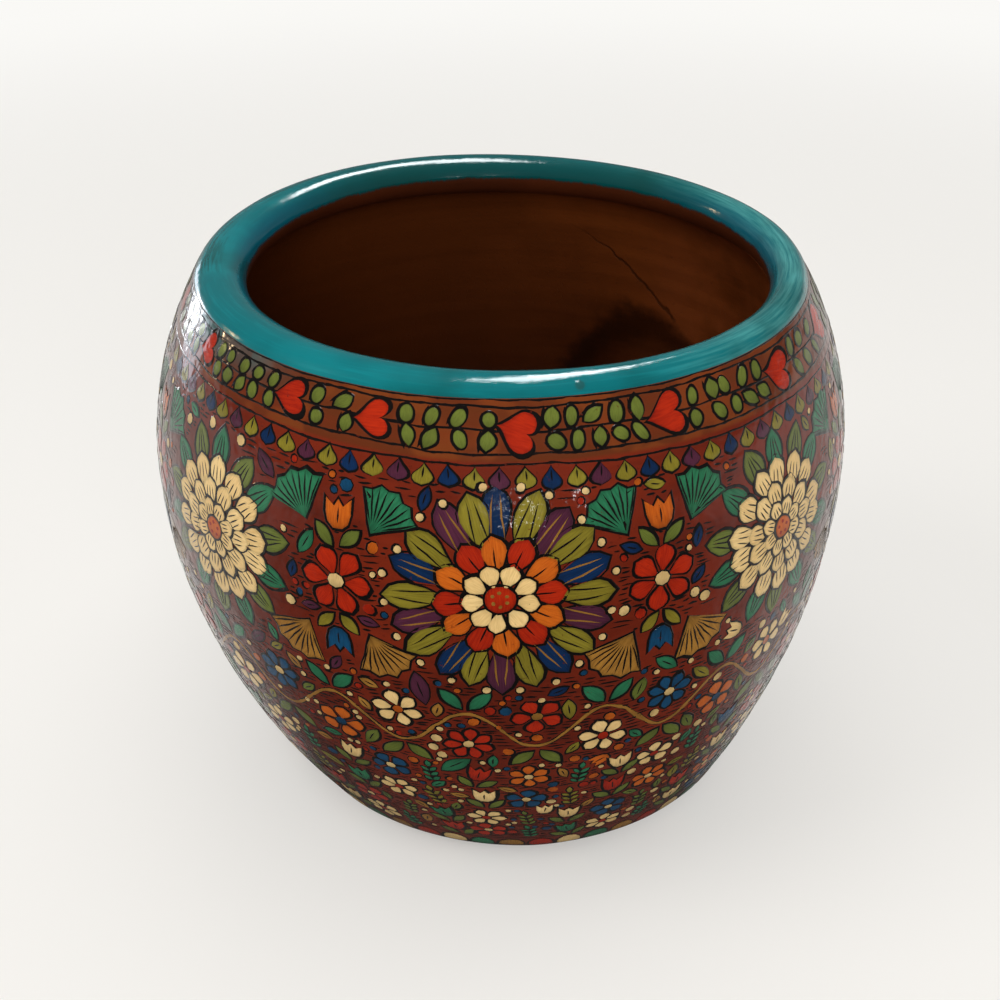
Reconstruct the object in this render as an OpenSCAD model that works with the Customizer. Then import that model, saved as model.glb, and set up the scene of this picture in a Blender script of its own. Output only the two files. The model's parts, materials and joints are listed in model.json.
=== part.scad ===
// Hand-built pottery planter: a pressed base slab and bowl, five wall coils and a thick rolled rim.
// Millimetres, +Z up, origin at the middle of the foot where the pot stands.
// Every clay member is a separate solid that seats on the one below it.

/* [Overall] */
// Height from the foot to the crest of the rim
height = 210; // [200:1:230]
// Outside radius at the widest level
belly_r = 130.5; // [124:0.5:140]
// Height of the widest level
belly_z = 126; // [118:1:134]
// Outside radius that the lower wall would reach at the floor, before the heel is rounded
toe_r = 93; // [88:1:100]
// Radius of the rounded heel
heel_r = 11; // [6:1:13]

/* [Wall] */
// Thickness of the wall, square to its surface
wall_t = 9.5; // [8:0.5:11]
// Thickness of the base slab
slab_t = 12; // [10:1:15]
// Diameter of the drain hole through the base slab
drain_d = 12; // [8:1:20]
// How full the lower wall is: 1 is a straight cone, more is rounder
lower_fullness = 1.8; // [1.6:0.1:2.2]
// How full the shoulder is: 1 is a straight cone, more is rounder
shoulder_fullness = 2.3; // [2.1:0.1:3]

/* [Rim] */
// Radius of the circle that the middle of the rim roll follows
rim_mid_r = 101; // [99:0.5:103]
// Radius of the rim roll itself
rim_roll_r = 8; // [7.5:0.5:9]
// How far round the roll, above its outer side, the shoulder runs into it, in degrees
rim_edge_a = 27; // [24:1:30]
// Depth of the roll's lap down over the neck
rim_lap = 5; // [4:0.5:6]

/* [Coils] */
// Height at which the pressed bowl ends and the first coil starts
bowl_top_z = 72; // [60:1:80]
// How much higher each seam is inside the wall than outside it
scarf = 7; // [4:1:9]

/* [Hidden] */

COIL_COUNT = 5;
$fn = 180;

// Vertical spacing of the points on the wall's outline
OUTLINE_STEP = 3;
// Points on the rounded heel
HEEL_STEPS = 8;
// How far the lap's outline runs on into the roll
LAP_OVERRUN = 1;

RIM_Z = height - rim_roll_r;
// The edge where the shoulder runs into the roll
EDGE_Z = RIM_Z + rim_roll_r * sin(rim_edge_a);
EDGE_R = rim_mid_r + rim_roll_r * cos(rim_edge_a);
// The narrow land on top of the neck, under the roll's lap
LAND_Z = EDGE_Z - rim_lap;
COIL_H = (LAND_Z - bowl_top_z) / COIL_COUNT;

TERRACOTTA = "#7a3a22";
SLAB_CLAY = "#8a4a2e";
COIL_CLAYS = ["#74361f", "#7d3d25"];
TURQUOISE = "#1f8a90";

// Outside radius of the wall at height z
function outer_r(z) =
    z < belly_z
        ? belly_r - (belly_r - toe_r) * pow((belly_z - z) / belly_z, lower_fullness)
        : belly_r - (belly_r - EDGE_R) * pow((z - belly_z) / (EDGE_Z - belly_z), shoulder_fullness);

// Slope of the outside, in radius for each unit of height
function outer_slope(z) = (outer_r(z + 0.05) - outer_r(z - 0.05)) / 0.1;

// Inside radius of the wall at height z
function inner_r(z) = outer_r(z) - wall_t * sqrt(1 + pow(outer_slope(z), 2));

// Heights from a to b, both included, in even steps near OUTLINE_STEP
function heights(a, b) =
    let (n = max(1, ceil(abs(b - a) / OUTLINE_STEP)))
    [for (i = [0:n]) a + (b - a) * i / n];

// The heel: an arc tangent to the floor and to the wall's lowest slope
TOE_LEAN = atan(outer_slope(0));
HEEL_MID_R = toe_r + heel_r * (tan(TOE_LEAN) * (1 - sin(TOE_LEAN)) - cos(TOE_LEAN));
HEEL_TOP = [HEEL_MID_R + heel_r * cos(TOE_LEAN), heel_r * (1 - sin(TOE_LEAN))];
function heel_points() = [
    for (i = [0:HEEL_STEPS])
        let (a = -90 + (90 - TOE_LEAN) * i / HEEL_STEPS)
        [HEEL_MID_R + heel_r * cos(a), heel_r + heel_r * sin(a)]
];

// Height of seam number i on the outside of the wall, and on its inside
function seam_out(i) = bowl_top_z + i * COIL_H - scarf / 2;
function seam_in(i) = bowl_top_z + i * COIL_H + scarf / 2;

// Outline of a ring of wall between two slanted seams
function wall_outline(low_out, high_out, low_in, high_in) = concat(
    [for (z = heights(low_out, high_out)) [outer_r(z), z]],
    [for (z = heights(high_in, low_in)) [inner_r(z), z]]
);

module turned(points) {
    rotate_extrude() polygon(points);
}

// Coil number i above the bowl, with a slanted lap seam at its foot and its head
module wall_coil(i) {
    color(COIL_CLAYS[i % 2])
        turned(wall_outline(seam_out(i), seam_out(i + 1), seam_in(i), seam_in(i + 1)));
}

module rim_roll() {
    rotate_extrude() translate([rim_mid_r, RIM_Z]) circle(r = rim_roll_r, $fn = 96);
}

module base_slab() {
    color(SLAB_CLAY)
        turned(concat(
            [[drain_d / 2, 0]],
            heel_points(),
            [[inner_r(slab_t), slab_t], [drain_d / 2, slab_t]]
        ));
}

module lower_bowl() {
    color(TERRACOTTA)
        turned(wall_outline(HEEL_TOP[1], seam_out(0), slab_t, seam_in(0)));
}

module lower_belly_coil() { wall_coil(0); }

module belly_coil() { wall_coil(1); }

module upper_belly_coil() { wall_coil(2); }

module shoulder_coil() { wall_coil(3); }

// The last coil has a hollow seat along its top edge, in which the rim roll lies
module neck_coil() {
    last = COIL_COUNT - 1;
    color(COIL_CLAYS[last % 2])
        difference() {
            turned(wall_outline(seam_out(last), LAND_Z, seam_in(last), LAND_Z));
            rim_roll();
        }
}

// The thick roll, with a lap outside it that carries the shoulder's line down to the neck's land
module rim_coil() {
    lap_top = EDGE_Z + LAP_OVERRUN;
    color(TURQUOISE)
        union() {
            rim_roll();
            turned(concat(
                [for (z = heights(LAND_Z, lap_top)) [outer_r(z), z]],
                [[rim_mid_r, lap_top], [rim_mid_r, LAND_Z]]
            ));
        }
}

base_slab();
lower_bowl();
lower_belly_coil();
belly_coil();
upper_belly_coil();
shoulder_coil();
neck_coil();
rim_coil();
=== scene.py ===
"""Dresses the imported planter: hand-pressed clay, a brushed turquoise lip and a painted wall under varnish."""

import json
import logging
import math
from dataclasses import dataclass, field
from enum import Enum, IntEnum
from functools import cache
from typing import Any, Iterator, NamedTuple, Optional, Sequence, Union

import bmesh
import bpy
import numpy as np
from bpy.types import Collection, Material, Mesh, Node, NodeSocket, NodeTree, Object
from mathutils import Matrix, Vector

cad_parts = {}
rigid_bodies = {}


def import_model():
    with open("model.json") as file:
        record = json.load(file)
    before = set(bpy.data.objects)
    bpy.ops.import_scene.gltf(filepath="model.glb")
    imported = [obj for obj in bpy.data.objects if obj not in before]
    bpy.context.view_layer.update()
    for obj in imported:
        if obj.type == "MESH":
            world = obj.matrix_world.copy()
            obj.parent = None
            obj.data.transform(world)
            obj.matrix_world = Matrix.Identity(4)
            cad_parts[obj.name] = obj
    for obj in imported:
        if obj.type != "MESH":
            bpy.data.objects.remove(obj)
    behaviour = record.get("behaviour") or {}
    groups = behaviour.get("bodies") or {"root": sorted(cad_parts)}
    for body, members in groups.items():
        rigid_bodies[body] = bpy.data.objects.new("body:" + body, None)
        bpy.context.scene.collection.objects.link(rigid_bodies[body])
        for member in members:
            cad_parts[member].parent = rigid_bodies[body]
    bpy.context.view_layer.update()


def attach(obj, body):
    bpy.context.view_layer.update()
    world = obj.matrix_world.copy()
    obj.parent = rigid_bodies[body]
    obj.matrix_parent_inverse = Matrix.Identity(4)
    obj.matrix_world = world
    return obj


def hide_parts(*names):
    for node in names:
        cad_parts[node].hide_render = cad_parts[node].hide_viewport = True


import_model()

LOG = logging.getLogger("planter")

MM = 0.001
TURN = 2.0 * math.pi
BAKE_MAP = "OFBake"
KEPT_ATTRIBUTES = (BAKE_MAP, "across", "tone", "stroke", "sharp_face", "sharp_edge", "material_index")

Colour = tuple[float, float, float, float]
Span = tuple[float, float]
Operand = Union["Field", float, int]


def srgb(red: int, green: int, blue: int) -> Colour:
    """Turns a colour as seen on a screen, from 0 to 255, into the linear one that nodes use."""
    parts = [part / 255.0 for part in (red, green, blue)]
    return (*(part / 12.92 if part <= 0.04045 else ((part + 0.055) / 1.055) ** 2.4 for part in parts), 1.0)


def pairs(radius: Any, height: Any) -> np.ndarray:
    """Joins radii and heights into the points of a section."""
    return np.column_stack(np.broadcast_arrays(radius, height))


# ---- node trees


class TreeKind(Enum):
    """The kinds of node tree that the script builds."""

    SHAPE = "GeometryNodeTree"
    SHADER = "ShaderNodeTree"


class Socket(Enum):
    """The kinds of socket on a node group."""

    SHAPE = "NodeSocketGeometry"
    OBJECT = "NodeSocketObject"
    SHELF = "NodeSocketCollection"
    FINISH = "NodeSocketMaterial"
    PLACE = "NodeSocketVector"
    COLOUR = "NodeSocketColor"
    NUMBER = "NodeSocketFloat"
    COUNT = "NodeSocketInt"


PLAIN_SOCKETS = {float: Socket.NUMBER, int: Socket.COUNT, tuple: Socket.PLACE}


class Pattern(NamedTuple):
    """Noise that is cut to a mask, which starts at the low level and is full at the high one."""

    scale: float
    detail: float
    roughness: float
    low: float
    high: float


class Field:
    """A node's output that can be used like a number."""

    def __init__(self, graph: "Graph", socket: NodeSocket) -> None:
        """Keeps the graph and the output socket."""
        self.graph = graph
        self.socket = socket

    def other(self, name: str) -> "Field":
        """Gives another output of the same node."""
        return Field(self.graph, self.socket.node.outputs[name])

    def math(self, operation: str, *others: Operand) -> "Field":
        """Adds a Math node that starts from this value."""
        return self.graph.math(operation, self, *others)

    def __add__(self, other: Operand) -> "Field":
        """Adds."""
        return self.math("ADD", other)

    def __sub__(self, other: Operand) -> "Field":
        """Subtracts."""
        return self.math("SUBTRACT", other)

    def __rsub__(self, other: Operand) -> "Field":
        """Subtracts from a plain number."""
        return self.graph.math("SUBTRACT", other, self)

    def __mul__(self, other: Operand) -> "Field":
        """Multiplies."""
        return self.math("MULTIPLY", other)

    def __truediv__(self, other: Operand) -> "Field":
        """Divides."""
        return self.math("DIVIDE", other)

    def __pow__(self, other: Operand) -> "Field":
        """Raises to a power."""
        return self.math("POWER", other)


class Graph:
    """Builds one node tree, node by node."""

    entry: Optional[Node] = None
    exit: Optional[Node] = None

    def __init__(self, tree: NodeTree) -> None:
        """Empties the tree that the nodes go into."""
        self.tree = tree
        tree.nodes.clear()

    @classmethod
    def group(cls, name: str, kind: TreeKind, inputs: dict[str, Any], outputs: dict[str, Socket]) -> "Graph":
        """Starts a node group with named sockets.

        Args:
            name: Name of the group.
            kind: Shape or shader tree.
            inputs: The kind of socket, or a plain default value, of each input.
            outputs: The kind of socket of each output.

        Returns:
            The graph, with its entry and exit nodes in place.
        """
        tree = bpy.data.node_groups.new(name, kind.value)
        for label, given in inputs.items():
            plain = not isinstance(given, Socket)
            socket_kind = PLAIN_SOCKETS[type(given)] if plain else given
            socket = tree.interface.new_socket(name=label, in_out="INPUT", socket_type=socket_kind.value)
            if plain:
                socket.default_value = given
        for label, given in outputs.items():
            tree.interface.new_socket(name=label, in_out="OUTPUT", socket_type=given.value)
        graph = cls(tree)
        graph.entry, graph.exit = (tree.nodes.new(f"NodeGroup{end}") for end in ("Input", "Output"))
        return graph

    def given(self, name: str) -> Field:
        """Gives one of the group's inputs."""
        return Field(self, self.entry.outputs[name])

    def give(self, name: str, value: Field) -> None:
        """Sends a value to one of the group's outputs."""
        self.tree.links.new(value.socket, self.exit.inputs[name])

    def node(self, kind: str, inputs: Optional[dict] = None, out: Union[int, str] = 0, **settings: Any) -> Field:
        """Adds a node.

        Args:
            kind: Blender's name of the node type.
            inputs: A value, a field or a list of fields for each input, by name or number.
            out: The output to return.
            **settings: Properties of the node itself.

        Returns:
            The chosen output.
        """
        made = self.tree.nodes.new(kind)
        for key, value in settings.items():
            setattr(made, key, value)
        for key, value in (inputs or {}).items():
            fields = value if isinstance(value, list) else [value]
            for one in fields:
                if isinstance(one, Field):
                    self.tree.links.new(one.socket, made.inputs[key])
                else:
                    made.inputs[key].default_value = one
        return Field(self, made.outputs[out] if made.outputs else None)

    def placed(self, group: NodeTree, inputs: dict) -> Field:
        """Places a node group."""
        kind = "GeometryNodeGroup" if self.tree.bl_idname == TreeKind.SHAPE.value else "ShaderNodeGroup"
        return self.node(kind, inputs, node_tree=group)

    def math(self, operation: str, *values: Operand) -> Field:
        """Adds a Math node."""
        return self.node("ShaderNodeMath", dict(enumerate(values)), operation=operation)

    def split(self, vector: Field) -> tuple[Field, Field, Field]:
        """Splits a vector into its three parts."""
        parts = self.node("ShaderNodeSeparateXYZ", {0: vector})
        return parts, parts.other("Y"), parts.other("Z")

    def joined(self, x: Operand, y: Operand, z: Operand) -> Field:
        """Joins three values into a vector."""
        return self.node("ShaderNodeCombineXYZ", {0: x, 1: y, 2: z})

    def around(self, x: Field, y: Field) -> Field:
        """Gives the angle round the pot, which is 0 in front."""
        return self.math("ARCTAN2", x, y * -1.0)

    def distance(self, start: Field, end: Any) -> Field:
        """Measures how far one place is from another."""
        return self.node("ShaderNodeVectorMath", {0: start, 1: end}, out="Value", operation="DISTANCE")

    def noise(self, vector: Field, scale: float, detail: float = 2.0, roughness: float = 0.5) -> Field:
        """Adds smooth noise between 0 and 1."""
        inputs = {"Vector": vector, "Scale": scale, "Detail": detail, "Roughness": roughness}
        return self.node("ShaderNodeTexNoise", inputs)

    def ramp(self, value: Operand, low: float, high: float, start: float = 0.0, end: float = 1.0) -> Field:
        """Maps a span of values smoothly onto another, clamped at both ends."""
        inputs = {"Value": value, "From Min": low, "From Max": high, "To Min": start, "To Max": end}
        return self.node("ShaderNodeMapRange", inputs, interpolation_type="SMOOTHSTEP", clamp=True)

    def mask(self, place: Field, pattern: Pattern) -> Field:
        """Cuts noise to a mask from 0 to 1."""
        noise = self.noise(place, pattern.scale, pattern.detail, pattern.roughness)
        return self.ramp(noise, pattern.low, pattern.high)

    def blend(self, factor: Operand, low: Union[Field, Colour], high: Union[Field, Colour], mode: str = "MIX") -> Field:
        """Blends a second colour into a first one by a factor."""
        return self.node("ShaderNodeMix", {0: factor, 6: low, 7: high}, out=2, data_type="RGBA", blend_type=mode)

    def attribute(self, name: str, data_type: str = "FLOAT") -> Field:
        """Reads a named attribute in a shape tree."""
        return self.node("GeometryNodeInputNamedAttribute", {"Name": name}, data_type=data_type)

    def store(self, shape: Field, name: str, value: Field, data_type: str = "FLOAT", domain: str = "POINT") -> Field:
        """Stores a named attribute in a shape tree."""
        inputs = {"Geometry": shape, "Name": name, "Value": value}
        return self.node("GeometryNodeStoreNamedAttribute", inputs, data_type=data_type, domain=domain)

    def shape_of(self, name: str) -> Field:
        """Gives the shape of an object that is one of the group's inputs."""
        return self.node("GeometryNodeObjectInfo", {"Object": self.given(name)}, out="Geometry")

    def pressed_place(self, pressed: NodeTree, radius: Field, angle: Field, z: Field) -> Field:
        """Gives the hand-pressed place of a point of the true form."""
        place = self.joined(radius * angle.math("SINE"), radius * angle.math("COSINE") * -1.0, z)
        return self.placed(pressed, {"Position": place})

    def end_shape(self, shape: Field) -> NodeTree:
        """Ends a shape tree with smooth shading, no instances and the given finish.

        Args:
            shape: The geometry so far.

        Returns:
            The finished tree.
        """
        shape = self.node("GeometryNodeSetShadeSmooth", {"Geometry": shape})
        shape = self.node("GeometryNodeRealizeInstances", {"Geometry": shape})
        shape = self.node("GeometryNodeSetMaterial", {"Geometry": shape, "Material": self.given("Finish")})
        self.give("Geometry", shape)
        return self.tree


def grown(name: str, slot: str, start: Mesh, tree: NodeTree, values: dict[str, Any],
          crease: float) -> Object:
    """Runs a Geometry Nodes tree on a mesh and keeps the result as a plain piece of the pot.

    Args:
        name: Name of the finished piece.
        slot: The record's material slot; not used.
        start: The mesh that the tree starts from.
        tree: The tree.
        values: A value for each of the tree's named inputs.
        crease: Angle in degrees past which an edge is sharp.

    Returns:
        The finished piece, with no modifier left on it.
    """
    piece = bpy.data.objects.new(name, start)
    bpy.context.scene.collection.objects.link(piece)
    modifier = piece.modifiers.new("Grow", "NODES")
    modifier.node_group = tree
    for item in tree.interface.items_tree:
        if item.item_type == "SOCKET" and item.in_out == "INPUT" and item.name in values:
            modifier[item.identifier] = values[item.name]
    graph = bpy.context.evaluated_depsgraph_get()
    evaluated = piece.evaluated_get(graph)
    mesh = bpy.data.meshes.new_from_object(evaluated, preserve_all_data_layers=True, depsgraph=graph)
    piece.modifiers.remove(modifier)
    piece.data = mesh
    mesh.name = name
    bpy.data.meshes.remove(start)
    for extra in [a.name for a in mesh.attributes if not (a.is_required or a.is_internal)]:
        if extra not in KEPT_ATTRIBUTES:
            mesh.attributes.remove(mesh.attributes[extra])
    if signed_volume(mesh) < 0.0:
        mesh.flip_normals()
    mesh.set_sharp_from_angle(angle=math.radians(crease))
    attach(piece, "root")
    return piece


def signed_volume(mesh: Mesh) -> float:
    """Measures the volume inside a mesh of closed shells.

    Args:
        mesh: The mesh.

    Returns:
        Cubic metres, negative where the faces point inwards.
    """
    shells = bmesh.new()
    shells.from_mesh(mesh)
    volume = shells.calc_volume(signed=True)
    shells.free()
    return volume


def polyline(name: str, points: np.ndarray) -> Object:
    """Makes a curve object in the XZ plane that a tree can sample.

    Args:
        name: Name of the object.
        points: Radius and height of each point.

    Returns:
        The curve object, which isn't linked to the scene.
    """
    curve = bpy.data.curves.new(name, "CURVE")
    curve.dimensions = "3D"
    spline = curve.splines.new("POLY")
    spline.points.add(len(points) - 1)
    for spot, (radius, height) in zip(spline.points, points):
        spot.co = (float(radius), 0.0, float(height), 1.0)
    return bpy.data.objects.new(name, curve)


def add_attribute(mesh: Mesh, name: str, data_type: str, values: Any) -> None:
    """Adds a point attribute to a mesh, with one value or vector for each point."""
    made = mesh.attributes.new(name, data_type, "POINT")
    made.data.foreach_set("vector" if data_type == "FLOAT_VECTOR" else "value", np.ravel(np.array(values)))


# ---- the form


@dataclass(frozen=True)
class PotForm:
    """The turned form that the hands worked towards, in metres."""

    height: float = 210 * MM
    belly_r: float = 130.5 * MM
    belly_z: float = 126 * MM
    toe_r: float = 93 * MM
    heel_r: float = 11 * MM
    heel_steps: int = 14
    wall: float = 9.5 * MM
    wall_steps: int = 260
    slab: float = 12 * MM
    drain_r: float = 6 * MM
    lower_fullness: float = 1.8
    shoulder_fullness: float = 2.3
    rim_mid_r: float = 101 * MM
    rim_roll_r: float = 8 * MM
    rim_edge: float = math.radians(27)
    slope_step: float = 0.05 * MM

    @property
    def rim_z(self) -> float:
        """Height of the middle of the rim roll."""
        return self.height - self.rim_roll_r

    @property
    def edge(self) -> Span:
        """Radius and height of the edge where the shoulder runs into the roll."""
        return self.on_roll(self.rim_edge)

    def on_roll(self, turn: Any, radius: Optional[float] = None) -> tuple[Any, Any]:
        """Gives radius and height on the rim roll, at a turn up from its outer side."""
        middle = self.rim_mid_r if radius is None else radius
        return middle + self.rim_roll_r * np.cos(turn), self.rim_z + self.rim_roll_r * np.sin(turn)

    def outer(self, z: Any) -> Any:
        """Gives the outside radius of the wall.

        Args:
            z: Heights.

        Returns:
            A radius for each height.
        """
        edge_r, edge_z = self.edge
        below = np.clip((self.belly_z - z) / self.belly_z, 0.0, None) ** self.lower_fullness
        above = np.clip((z - self.belly_z) / (edge_z - self.belly_z), 0.0, None) ** self.shoulder_fullness
        return self.belly_r - (self.belly_r - self.toe_r) * below - (self.belly_r - edge_r) * above

    def slope(self, z: Any) -> Any:
        """Gives the change of the outside radius with height."""
        return (self.outer(z + self.slope_step) - self.outer(z - self.slope_step)) / (2.0 * self.slope_step)

    def heel_line(self) -> np.ndarray:
        """Gives the rounded heel from the floor up to the wall.

        Returns:
            Radius and height of each point.
        """
        lean = math.atan(float(self.slope(0.0)))
        middle = self.toe_r + self.heel_r * (math.tan(lean) * (1.0 - math.sin(lean)) - math.cos(lean))
        turn = np.linspace(-math.pi / 2, -lean, self.heel_steps)
        return pairs(middle + self.heel_r * np.cos(turn), self.heel_r * (1.0 + np.sin(turn)))

    def outer_line(self) -> np.ndarray:
        """Gives the whole outside from the floor to the rim's edge.

        Returns:
            Radius and height of each point.
        """
        heel = self.heel_line()
        z = np.linspace(heel[-1, 1], self.edge[1], self.wall_steps)[1:]
        return np.concatenate([heel, pairs(self.outer(z), z)])

    def inside_line(self, depth: float, low: float, high: float, count: int) -> np.ndarray:
        """Gives a line of points inside the wall, at an even depth square to its outside."""
        z = np.linspace(low, high, count)
        return pairs(self.outer(z) - depth * np.sqrt(1.0 + self.slope(z) ** 2), z)


@dataclass(frozen=True)
class HandPressing:
    """How far the hand-built pot strays from the true turned form."""

    form: PotForm
    oval: float = 1.1 * MM
    oval_turn: float = 0.6
    three_sided: float = 0.7 * MM
    three_sided_turn: float = 1.9
    lumps: float = 0.9 * MM
    lump_scale: float = 22.0
    lean: float = 5.0 * MM
    heel_swell: float = 4.0 * MM
    heel_swell_angle: float = math.radians(58)
    tilt: float = 0.0075
    rim_wave: float = 0.35 * MM
    rim_wave_turn: float = 0.7

    def tree(self) -> NodeTree:
        """Builds the group that moves a point of the true form to its hand-made place.

        Returns:
            The node group.
        """
        sockets = {"Position": Socket.PLACE}
        graph = Graph.group("Hand pressed", TreeKind.SHAPE, sockets, sockets)
        place = graph.given("Position")
        x, y, z = graph.split(place)
        angle = graph.around(x, y)
        up = (z / self.form.height).math("MINIMUM", 1.0).math("MAXIMUM", 0.0)
        low = (1.0 - up) ** 3.0
        oval = (angle * 2.0 + self.oval_turn).math("COSINE") * (up * math.pi).math("SINE") * self.oval
        sides = (angle * 3.0 + self.three_sided_turn).math("COSINE") * up * up * self.three_sided
        lumps = (graph.noise(place, self.lump_scale, 1.0) - 0.5) * (self.lumps * 2.0)
        toward = (angle - self.heel_swell_angle).math("COSINE").math("MAXIMUM", 0.0) ** 4.0
        swell = (oval + sides + lumps + toward * low * self.heel_swell) / self.form.belly_r + 1.0
        wave = (angle * 3.0 + self.rim_wave_turn).math("COSINE") * self.rim_wave
        drop = up ** 6.0 * (wave - x * self.tilt)
        graph.give("Position", graph.joined(x * swell + low * self.lean, y * swell, z + drop))
        return graph.tree


def turned_tree(form: PotForm, pressed: NodeTree) -> NodeTree:
    """Builds the tree that turns a section round the pot's axis and presses it by hand.

    Args:
        form: The true form.
        pressed: The hand-pressed group.

    Returns:
        The Geometry Nodes tree.
    """
    inputs = {
        "Geometry": Socket.SHAPE, "Section": Socket.OBJECT, "Steps around": 360, "Steps along": 160,
        "Thicker to the left": 0.0, "Chip place": (0.0, 0.0, -1.0), "Chip radius": 1.0 * MM, "Chip depth": 0.0,
        "Finish": Socket.FINISH,
    }
    graph = Graph.group("Turned clay", TreeKind.SHAPE, inputs, {"Geometry": Socket.SHAPE})
    steps = graph.given("Steps along")
    grid = {"Size X": 1.0, "Size Y": 1.0, "Vertices X": graph.given("Steps around") + 1, "Vertices Y": steps + 1}
    sheet = graph.node("GeometryNodeMeshGrid", grid, out="Mesh")
    shape = graph.store(sheet, BAKE_MAP, sheet.other("UV Map"), "FLOAT2", "CORNER")
    here = graph.node("GeometryNodeInputPosition")
    u, v, _ = graph.split(here)
    u, v = u + 0.5, v + 0.5
    shape = graph.store(shape, "across", v)
    index = (v * steps).math("ROUND").math("MODULO", steps)
    sampled = {"Geometry": graph.shape_of("Section"), "Value": here, "Index": index}
    spot = graph.node("GeometryNodeSampleIndex", sampled, data_type="FLOAT_VECTOR", domain="POINT")
    radius, _, z = graph.split(spot)
    angle = u * TURN - math.pi
    thicker = 1.0 - graph.given("Thicker to the left") * angle.math("SINE")
    edge_r = float(form.edge[0])
    radius = edge_r - (edge_r - radius) * thicker
    place = graph.pressed_place(pressed, radius, angle, z)
    shape = graph.node("GeometryNodeSetPosition", {"Geometry": shape, "Position": place})
    shape = graph.node("GeometryNodeMergeByDistance", {"Geometry": shape, "Distance": 0.004 * MM})
    away = graph.distance(here, graph.given("Chip place"))
    hollow = (1.0 - (away / graph.given("Chip radius")).math("MINIMUM", 1.0) ** 2.0) ** 2.0
    dent = {0: graph.node("GeometryNodeInputNormal"), "Scale": hollow * graph.given("Chip depth")}
    push = graph.node("ShaderNodeVectorMath", dent, operation="SCALE")
    return graph.end_shape(graph.node("GeometryNodeSetPosition", {"Geometry": shape, "Offset": push}))


# ---- finishes


@cache
def varnish() -> NodeTree:
    """Builds the hand-brushed varnish once: uneven gloss, soft ripples and fine dust.

    Returns:
        The node group.
    """
    smears = Pattern(26.0, 3.0, 0.5, 0.42, 0.72)
    dust = Pattern(900.0, 2.0, 0.5, 0.62, 0.75)
    inputs = {"Place": Socket.PLACE, "Gloss roughness": 0.05, "Smears": 0.08, "Wrinkles": 0.85}
    outputs = {"Roughness": Socket.NUMBER, "Height": Socket.NUMBER}
    graph = Graph.group("Brushed varnish", TreeKind.SHADER, inputs, outputs)
    place = graph.given("Place")
    dulled = graph.mask(place, smears) + graph.mask(place, dust) * 0.7
    graph.give("Roughness", graph.given("Gloss roughness") + graph.given("Smears") * dulled)
    wrinkled = graph.noise(place, 270.0, 1.0) * graph.given("Wrinkles")
    graph.give("Height", graph.noise(place, 95.0) * 0.5 + wrinkled)
    return graph.tree


@cache
def brushwork() -> NodeTree:
    """Builds the paint of one brush mark once: streaks along it, a thin edge and a tone of its own.

    Returns:
        The node group.
    """
    specks = Pattern(520.0, 3.0, 0.65, 0.66, 0.74)
    inputs = {
        "Colour": Socket.COLOUR, "Second colour": Socket.COLOUR, "Ground": Socket.COLOUR,
        "Stroke": Socket.PLACE, "Tone": 0.5, "Place": Socket.PLACE,
    }
    outputs = {"Color": Socket.COLOUR, "Height": Socket.NUMBER}
    graph = Graph.group("Brush mark", TreeKind.SHADER, inputs, outputs)
    tone = graph.given("Tone")
    across, along, edge = graph.split(graph.given("Stroke"))
    hair = graph.noise(graph.joined(across * 22.0 + tone * 40.0, along * 2.2, tone * 9.0), 1.0, 3.0, 0.6)
    mixed = graph.ramp(hair, 0.34, 0.7) * 0.55 + tone * 0.35
    body = graph.blend(mixed, graph.given("Colour"), graph.given("Second colour"))
    shade = graph.ramp(along, -0.5, 0.1, 0.72, 1.0) * graph.ramp(edge, 0.78, 1.0, 1.0, 0.7)
    body = graph.blend(1.0, body, graph.joined(shade, shade, shade), "MULTIPLY")
    worn = graph.mask(graph.given("Place"), specks)
    graph.give("Color", graph.blend(worn * 0.75, body, graph.given("Ground")))
    graph.give("Height", hair - worn)
    return graph.tree


@cache
def fired_clay() -> NodeTree:
    """Builds fired clay once: blotches of colour, grog specks and the streaks of a wet hand.

    Returns:
        The node group.
    """
    blotches = Pattern(16.0, 4.0, 0.6, 0.3, 0.72)
    grog = Pattern(700.0, 2.0, 0.5, 0.63, 0.72)
    inputs = {"Colour": Socket.COLOUR, "Dark colour": Socket.COLOUR, "Place": Socket.PLACE}
    outputs = {"Color": Socket.COLOUR, "Height": Socket.NUMBER, "Streaks": Socket.NUMBER}
    graph = Graph.group("Fired clay", TreeKind.SHADER, inputs, outputs)
    place, dark = graph.given("Place"), graph.given("Dark colour")
    x, y, z = graph.split(place)
    wiped = graph.noise(graph.joined(x * 9.0, y * 9.0, z * 160.0), 1.0, 4.0, 0.6)
    specks = graph.mask(place, grog)
    darker = graph.mask(place, blotches) * 0.6 + graph.ramp(wiped, 0.4, 0.75) * 0.35
    body = graph.blend(darker, graph.given("Colour"), dark)
    graph.give("Color", graph.blend(specks * 0.35, body, dark))
    graph.give("Height", wiped * 0.8 - specks * 0.25 + graph.noise(place, 260.0, 3.0) * 0.3)
    graph.give("Streaks", graph.ramp(wiped, 0.35, 0.75))
    return graph.tree


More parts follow.
